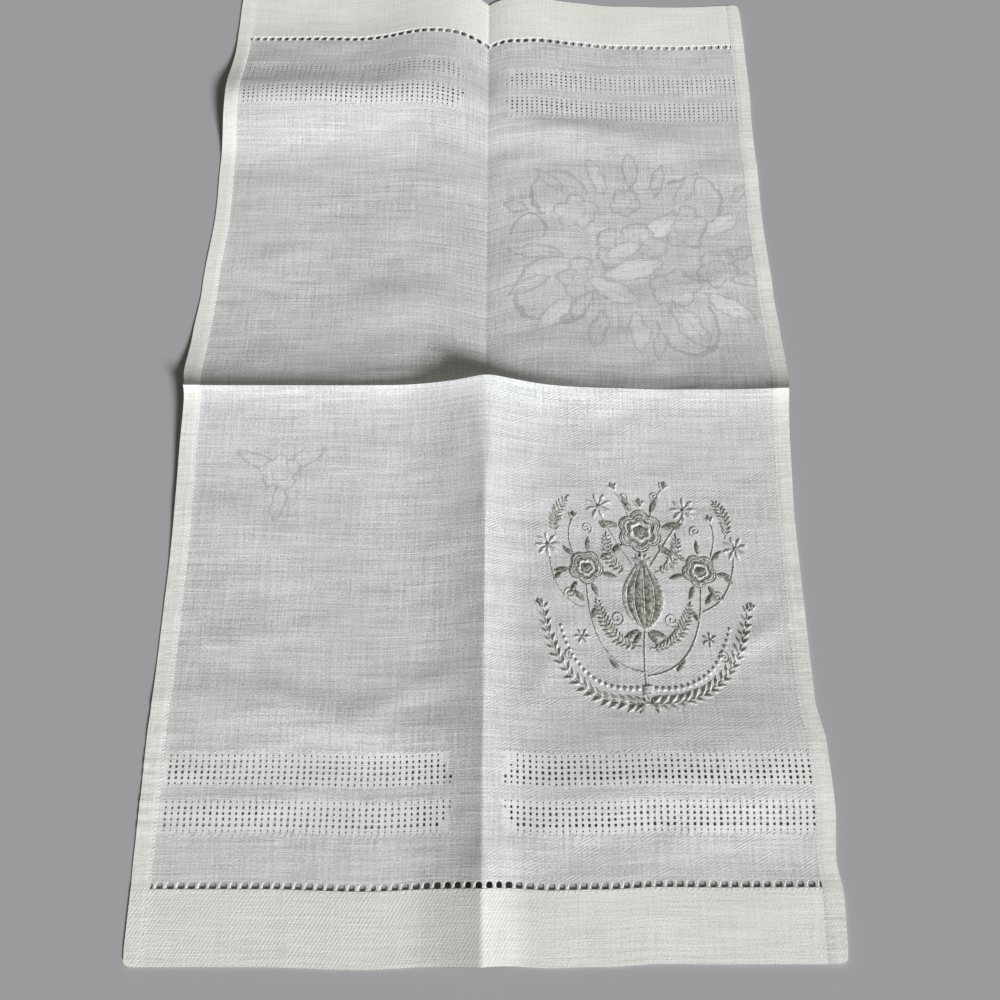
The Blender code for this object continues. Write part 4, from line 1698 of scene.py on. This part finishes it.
FIGURE_GROUPS = {
    "leaf": figure_group("woven_leaf", leaf_drawing),
    "blossom": figure_group("woven_blossom", blossom_drawing),
    "arc": figure_group("woven_stem", arc_drawing),
}


def woven_figures(tree, place):
    """The tone of the bouquet's shapes, and their lines. The shapes lie in the order of the table."""
    body = 0.0
    lines = 0.0
    wavy = add_node(tree, "TexNoise", {"Vector": place, "Scale": 1 / WANDER_PITCH, "Detail": 2.0})
    centred = add_node(tree, "VectorMath", {
        0: wavy.outputs["Color"], 1: (0.5, 0.5, 0.5),
    }, operation="SUBTRACT")
    place = add_node(tree, "VectorMath", {
        0: centred.outputs[0], 1: (WANDER, WANDER, 0), 2: place,
    }, operation="MULTIPLY_ADD").outputs[0]
    for figure in FIGURES:
        laid = add_node(tree, "Group", {
            "Place": place, "Middle": (figure.across * MM, figure.along * MM, 0),
            "Turn": (0, 0, math.radians(figure.turn_deg)), "Size": (figure.length * MM, figure.width * MM, 1),
            "Tone": figure.tone, "Body": body, "Lines": lines,
        }, node_tree=FIGURE_GROUPS[figure.shape])
        body = laid.outputs["Body"]
        lines = laid.outputs["Lines"]
        place = laid.outputs["Place"]
    return body, lines


# %% [markdown]
# ## Patterns of the field and of the hems
#
# The plain cloth is not alike everywhere. Slanting twill ribs come and go, most of all in the near right
# quarter and on the near left hem. The openwork is brighter, with ragged borders and a fine line down
# each column of holes. The side hems carry the painted light and shade of puckers, and the far hem and
# the right part of the hems get painted light. Each pattern is a number at each place of the cloth, with
# a weight that says how far it makes the linen lighter, or darker when it is negative.

# %% Patterns of the field and of the hems
TWILL_WANDER = Streak(18, 7, 2.9, 1.0)
TWILL_WANDER_WIDTH = 1.8 * MM
TWILL_PATCHES = Streak(15, 8, 6.1, 2.0)
TWILL_PATCH_BORDER = 0.26
TWILL_STRONGEST = 1.6
Twill = namedtuple("Twill", "turn_deg pitch bare weight")
FIELD_TWILL = Twill(27, 1.4 * MM, 0.40, 0.30)
HEM_TWILL = Twill(58, 1.6 * MM, 0.25, 0.40)
TWILL_ELSEWHERE = 0.25
RAGGED_BORDER = Streak(3, 3, 8.8, 1.0)
NET_STARTS = 1.5 * MM
NET_ENDS = 18.5 * MM
NET_WEIGHT_FAR = 0.30
NET_WEIGHT_MORE_NEAR = 0.25
COLUMN_LINE_WEIGHT = -0.42
BOUQUET_TONE_WEIGHT = 0.34
BOUQUET_LINE_WEIGHT = -0.46
# Painted light and shade of small puckers on the side hems.
SIDE_HEM_PAINTED_PUCKERS = Streak(11, 1.9, 8.3, 2.0)
SEAM_STITCHES = Streak(1.6, 1.2, 6.6, 1.0)
SEAM_HALF_WIDTH = 0.7 * MM
# Painted light: the far hem and the right part of the hems are made lighter.
FAR_HEM_PAINTED_LIGHT = 0.26
RIGHT_HEM_PAINTED_LIGHT = 0.14
PAINTED_PUCKER_WEIGHT = 1.5
RIGHT_SIDE_HEM_WEIGHT = -0.16
SEAM_WEIGHT = -0.45


def ribs(tree, place, across, along, twill):
    """Slanting ribs from -1 to 1, which come and go. A greater bare gives larger patches without them."""
    turn = math.radians(twill.turn_deg)
    distance = times_plus(tree, along, math.cos(turn), times(tree, across, -math.sin(turn)))
    wander = times(tree, streaks(tree, place, TWILL_WANDER, twill.turn_deg), TWILL_WANDER_WIDTH)
    patches = streaks(tree, place, TWILL_PATCHES, twill.turn_deg)
    strength = add_node(tree, "MapRange", {
        0: patches, 1: twill.bare, 2: twill.bare + TWILL_PATCH_BORDER, 4: TWILL_STRONGEST,
    })
    return times(tree, waves_of(tree, plus(tree, distance, wander), twill.pitch), strength.outputs[0])


def openwork_net(tree, place, across, along):
    """1 between the holes of the openwork and 0 elsewhere, with ragged borders."""
    ragged = streaks(tree, place, RAGGED_BORDER)
    from_middle = times_plus(tree, ragged, 6 * MM, unsigned(tree, along))
    net = plus(tree, *(
        between(tree, from_middle, band.first_row + NET_STARTS, band.first_row + NET_ENDS, 1.6 * MM)
        for band in BANDS
    ))
    from_left = times_plus(tree, ragged, 10 * MM, across)
    beside_crease = between(tree, from_left, -13 * MM, 16 * MM, 2.5 * MM)
    return times(tree, net, minus(tree, 1.0, beside_crease))


def mostly_in(tree, first, second):
    """1 in one quarter of the towel, and a smaller share elsewhere."""
    return times_plus(tree, times(tree, first, second), 1 - TWILL_ELSEWHERE, TWILL_ELSEWHERE)


def field_patterns(tree, place, across, along):
    """The openwork's bright bars and thread lines, and the twill of one quarter."""
    net = openwork_net(tree, place, across, along)
    on_column = minus(tree, across, RIGHT_BLOCK_START - COLUMN_PITCH / 4)
    column_line = times_plus(tree, waves_of(tree, on_column, COLUMN_PITCH), 2.0, -1.0, clamp=True)
    on_right = between(tree, across, 2 * MM, HALF_LENGTH, 2 * MM)
    near_right = mostly_in(tree, on_right, between(tree, along, -HALF_LENGTH, -6 * MM, 9 * MM))
    twill = times(tree, ribs(tree, place, across, along, FIELD_TWILL), near_right)
    near_half = calculate(tree, "LESS_THAN", along, 0.0)
    net_share = times(tree, net, times_plus(tree, near_half, NET_WEIGHT_MORE_NEAR, NET_WEIGHT_FAR))
    return [
        (net_share, 0.0, 1.0),
        (times(tree, net, column_line), 0.0, COLUMN_LINE_WEIGHT),
        (twill, 0.0, FIELD_TWILL.weight),
    ]


def figured_patterns(tree, place, across, along):
    """The patterns of the field, with the bouquet woven into them."""
    body, lines = woven_figures(tree, place)
    bouquet = [(body, 0.0, BOUQUET_TONE_WEIGHT), (lines, 0.0, BOUQUET_LINE_WEIGHT)]
    return field_patterns(tree, place, across, along) + bouquet


def hem_patterns(tree, place, across, along):
    """The near left hem's twill, painted light and pucker shade on the hems, and the end hems' seam."""
    on_left = between(tree, across, -HALF_LENGTH, 20 * MM, 30 * MM)
    near_left = mostly_in(tree, on_left, between(tree, along, -HALF_LENGTH, 0, 9 * MM))
    in_end = calculate(tree, "GREATER_THAN", unsigned(tree, along), HEM_GAP_END)
    twill = times(tree, ribs(tree, place, across, along, HEM_TWILL), times(tree, near_left, in_end))
    outer = unsigned(tree, minus(tree, across, CREASE_LEFT_OF_MIDDLE))
    inner_edge = TOWEL_WIDTH / 2 - SIDE_HEM
    in_side = between(tree, outer, inner_edge - 1 * MM, HALF_LENGTH, 0.8 * MM)
    # Painted light and shade, standing in for small puckers on the side hems.
    painted_pucker_shade = minus(tree, streaks(tree, place, SIDE_HEM_PAINTED_PUCKERS, 4), 0.5)
    on_seam = between(tree, outer, inner_edge - SEAM_HALF_WIDTH, inner_edge + SEAM_HALF_WIDTH, 0.5 * MM)
    seam = times(tree, on_seam, streaks(tree, place, SEAM_STITCHES))
    return [
        (twill, 0.0, HEM_TWILL.weight),
        # Painted light on the far hem, and on the right part of the hems.
        (calculate(tree, "GREATER_THAN", along, 0.0), 0.0, FAR_HEM_PAINTED_LIGHT),
        (between(tree, across, 30 * MM, HALF_LENGTH, 30 * MM), 0.0, RIGHT_HEM_PAINTED_LIGHT),
        (times(tree, in_side, painted_pucker_shade), 0.0, PAINTED_PUCKER_WEIGHT),
        (times(tree, in_side, calculate(tree, "SIGN", across)), 0.0, RIGHT_SIDE_HEM_WEIGHT),
        (times(tree, seam, in_end), 0.0, SEAM_WEIGHT),
    ]


# %% [markdown]
# ## The linen, in one layer and doubled
#
# One function makes the linen from its yarns, and is used three times. The single layer is greyer,
# because it is sheer and what lies under it shows through. The doubled hems are whiter and a little
# warmer. The figured linen is the single layer with the bouquet, and only the faces around the woven
# shapes have it, because its many nodes take time to render.

# %% The linen, in one layer and doubled
Yarn = namedtuple("Yarn", "streak turn_deg lightens raises")
WEFT = Yarn(Streak(26, 0.7, 1.7, 2.0), 0, 1.05, 1.2)
WEFT_SLUBS = Yarn(Streak(60, 1.7, 4.3, 2.0), 0, 0.90, 0)
WARP = Yarn(Streak(16, 0.7, 5.1, 2.0), 90, 0.85, 0.9)
WARP_SLUBS = Yarn(Streak(44, 1.6, 2.2, 2.0), 90, 0.65, 0)
GRAIN = Yarn(Streak(1.5, 0.8, 9.3, 1.0), 0, 1.30, 1.2)
# Partly the linen's own random mottle, partly painted shade of soft puckers.
MOTTLE_AND_PUCKER_SHADE = Yarn(Streak(34, 11, 3.3, 2.0), 10, 0.60, 0)
YARNS = (WEFT, WEFT_SLUBS, WARP, WARP_SLUBS, GRAIN, MOTTLE_AND_PUCKER_SHADE)
TINT_PATCHES = Streak(60, 40, 7.7, 2.0)
TINT_SHARE = 0.8
WEAVE_PITCH = 0.9 * MM
WEAVE_RAISES = 0.18
RELIEF_STRENGTH = 0.9
RELIEF_HEIGHT = 0.14 * MM
FIBRE_IOR = 1.53
LINEN_ROUGHNESS = 0.7
LINEN_SHINE = 0.25
LINEN_SHEEN = 0.08


def linen(name, dark, light, tint, own_patterns):
    material, tree, output = new_material(name)
    place, across, along = cloth_place(tree)
    yarns = [(streaks(tree, place, yarn.streak, yarn.turn_deg), yarn) for yarn in YARNS]
    patterns = own_patterns(tree, place, across, along)
    share = add_up(tree, [(drawn_out, 0.5, yarn.lightens) for drawn_out, yarn in yarns] + patterns)
    plain = mix_colours(tree, plus(tree, share, 0.5, clamp=True), dark, light)
    tint_share = times(tree, streaks(tree, place, TINT_PATCHES, 30), TINT_SHARE)
    colour = mix_colours(tree, tint_share, plain, tint)
    weave = times(tree, waves_of(tree, across, WEAVE_PITCH), waves_of(tree, along, WEAVE_PITCH))
    raised = [(drawn_out, 0.5, yarn.raises) for drawn_out, yarn in yarns if yarn.raises]
    relief = add_up(tree, [(weave, 0.0, WEAVE_RAISES)] + raised)
    bump = add_node(tree, "Bump", {"Height": relief, "Strength": RELIEF_STRENGTH, "Distance": RELIEF_HEIGHT})
    surface = add_node(tree, "BsdfPrincipled", {
        "Base Color": colour, "Roughness": LINEN_ROUGHNESS, "IOR": FIBRE_IOR, "Normal": bump.outputs[0],
        "Specular IOR Level": LINEN_SHINE, "Sheen Weight": LINEN_SHEEN, "Sheen Roughness": 0.5,
    })
    tree.links.new(surface.outputs[0], output.inputs["Surface"])
    return material


for name, dark, light, tint, patterns in (
    ("linen_single_layer", "A1A4A2", "FEFFFF", "D3D6D4", field_patterns),
    ("linen_doubled_hem", "CBCDC8", "FFFFFD", "EBEBE2", hem_patterns),
    ("linen_with_bouquet", "A1A4A2", "FEFFFF", "D3D6D4", figured_patterns),
):
    cloth.data.materials.append(linen(name, dark, light, tint, patterns))


def give_faces_their_linen(piece):
    """Puts the doubled linen on the hems, and the figured linen around the woven shapes."""
    uv = piece.data.uv_layers["flat_cloth"].data
    for face in piece.data.polygons:
        corners = [Vector(uv[corner].uv) for corner in face.loop_indices]
        middle = sum(corners, Vector((0, 0))) / len(corners)
        in_side = min(middle.x - LEFT_EDGE, RIGHT_EDGE - middle.x) < SIDE_HEM + SIDE_STEP_OUTSIDE
        in_end = abs(middle.y) > HALF_LENGTH - END_HEM - HEM_STEP
        figured = any(low.x < middle.x < high.x and low.y < middle.y < high.y for low, high in FIGURED_AREAS)
        face.material_index = 1 if in_side or in_end else 2 if figured else 0


give_faces_their_linen(cloth)

# %% [markdown]
# ## Threads
#
# The stitches are white cotton with hardly a shine. The embroidery is rayon: a smooth, bright filament
# that mirrors the light along each thread, so that satin stitch looks dark from one side and pale from
# the other.

# %% Make the threads' materials
# Painted glints: each thread's colour changes between its dark and light value from stitch to stitch.
STITCH_GLINT = 1.5 * MM
GLINT_FROM = 0.36
GLINT_TO = 0.64
COTTON_WITH_PAINTED_GLINTS = ("D9DAD6", "F6F7F3")
COTTON_ROUGHNESS = 0.7
COTTON_SHINE = 0.2
RAYON_COLOURS_WITH_PAINTED_GLINTS = (("67655C", "BAB9B0"), ("9B9A92", "ECECE7"), ("BEBEB9", "FFFFFE"))
RAYON_ROUGHNESS = 0.34
RAYON_SHINE = 0.7


def thread_material(name, dark, light, roughness, shine):
    """Thread with painted glints: its colour goes from dark to light and back from stitch to stitch."""
    material, tree, output = new_material(name)
    place = add_node(tree, "TexCoord").outputs["Object"]
    stitch = add_node(tree, "TexNoise", {"Vector": place, "Scale": 1 / STITCH_GLINT, "Detail": 1.0})
    share = add_node(tree, "MapRange", {0: stitch.outputs[0], 1: GLINT_FROM, 2: GLINT_TO})
    surface = add_node(tree, "BsdfPrincipled", {
        "Base Color": mix_colours(tree, share.outputs[0], dark, light), "Roughness": roughness,
        "IOR": FIBRE_IOR, "Specular IOR Level": shine,
    })
    tree.links.new(surface.outputs[0], output.inputs["Surface"])
    return material


cotton = thread_material("cotton_thread", *COTTON_WITH_PAINTED_GLINTS, COTTON_ROUGHNESS, COTTON_SHINE)
for piece in (near_hemstitching, far_hemstitching, side_hem_stitches, openwork_ticks):
    piece.data.materials.append(cotton)
for piece, colours in zip(posy, RAYON_COLOURS_WITH_PAINTED_GLINTS):
    rayon = thread_material(piece.name + "_rayon", *colours, RAYON_ROUGHNESS, RAYON_SHINE)
    piece.data.materials.append(rayon)

# %% [markdown]
# ## The floor
#
# The towel lies on a plain pale floor, a hair's breadth below it, so that the two never cut through each
# other. A white floor would be brighter than the cloth, so this one is painted a pale grey.

# %% Lay the floor
FLOOR_SIZE = 3
BELOW_TOWEL = 0.2 * MM
FLOOR_COLOUR = "ABACAE"

deselect_all()
bpy.ops.mesh.primitive_plane_add(size=FLOOR_SIZE, location=(0, 0, -BELOW_TOWEL))
floor = bpy.context.object
floor.name = "floor"
floor_material, floor_tree, floor_output = new_material("floor_paint")
floor_surface = add_node(floor_tree, "BsdfPrincipled", {"Base Color": linear(FLOOR_COLOUR), "Roughness": 0.9})
floor_tree.links.new(floor_surface.outputs[0], floor_output.inputs["Surface"])
floor.data.materials.append(floor_material)

# %% [markdown]
# ## The light
#
# One large soft lamp stands low at the near right, so that every crease and thread throws a soft shadow
# to the far left. It is a sun lamp with a wide angle, which lights the whole towel evenly, where a lamp
# close by would leave the far end dark. A weak, slightly warm light from all around fills the shadows.

# %% Light the scene
KEY_AZIMUTH_DEG = 38
KEY_HEIGHT_DEG = 32
KEY_STRENGTH = 3.85
KEY_SOFTNESS_DEG = 14
KEY_COLOUR = "FBFDFF"
FILL_STRENGTH = 0.15
FILL_COLOUR = "FFF6E8"


def add_key_light():
    data = bpy.data.lights.new("key", "SUN")
    data.energy = KEY_STRENGTH
    data.angle = math.radians(KEY_SOFTNESS_DEG)
    data.color = linear(KEY_COLOUR)[:3]
    lamp = bpy.data.objects.new("key", data)
    bpy.context.scene.collection.objects.link(lamp)
    azimuth = math.radians(KEY_AZIMUTH_DEG)
    height = math.radians(KEY_HEIGHT_DEG)
    to_lamp = (math.sin(azimuth) * math.cos(height), -math.cos(azimuth) * math.cos(height), math.sin(height))
    lamp.rotation_euler = Vector(to_lamp).to_track_quat("Z", "Y").to_euler()


def add_fill_light():
    world = bpy.data.worlds.new("studio")
    world.use_nodes = True
    background = world.node_tree.nodes["Background"]
    background.inputs["Color"].default_value = linear(FILL_COLOUR)
    background.inputs["Strength"].default_value = FILL_STRENGTH
    bpy.context.scene.world = world


add_key_light()
add_fill_light()
bpy.context.scene.view_settings.view_transform = "Standard"
print("Lit by", [light.name for light in bpy.data.lights])

# %% [markdown]
# ## Put everything together
#
# Every piece rides on the towel's one body. The cloth stands in for the plain model, which is hidden.

# %% Attach the pieces
sewn_on = [near_hemstitching, far_hemstitching, side_hem_stitches, openwork_ticks] + posy
for piece in [cloth] + sewn_on:
    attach(piece, "root")
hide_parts("towel")
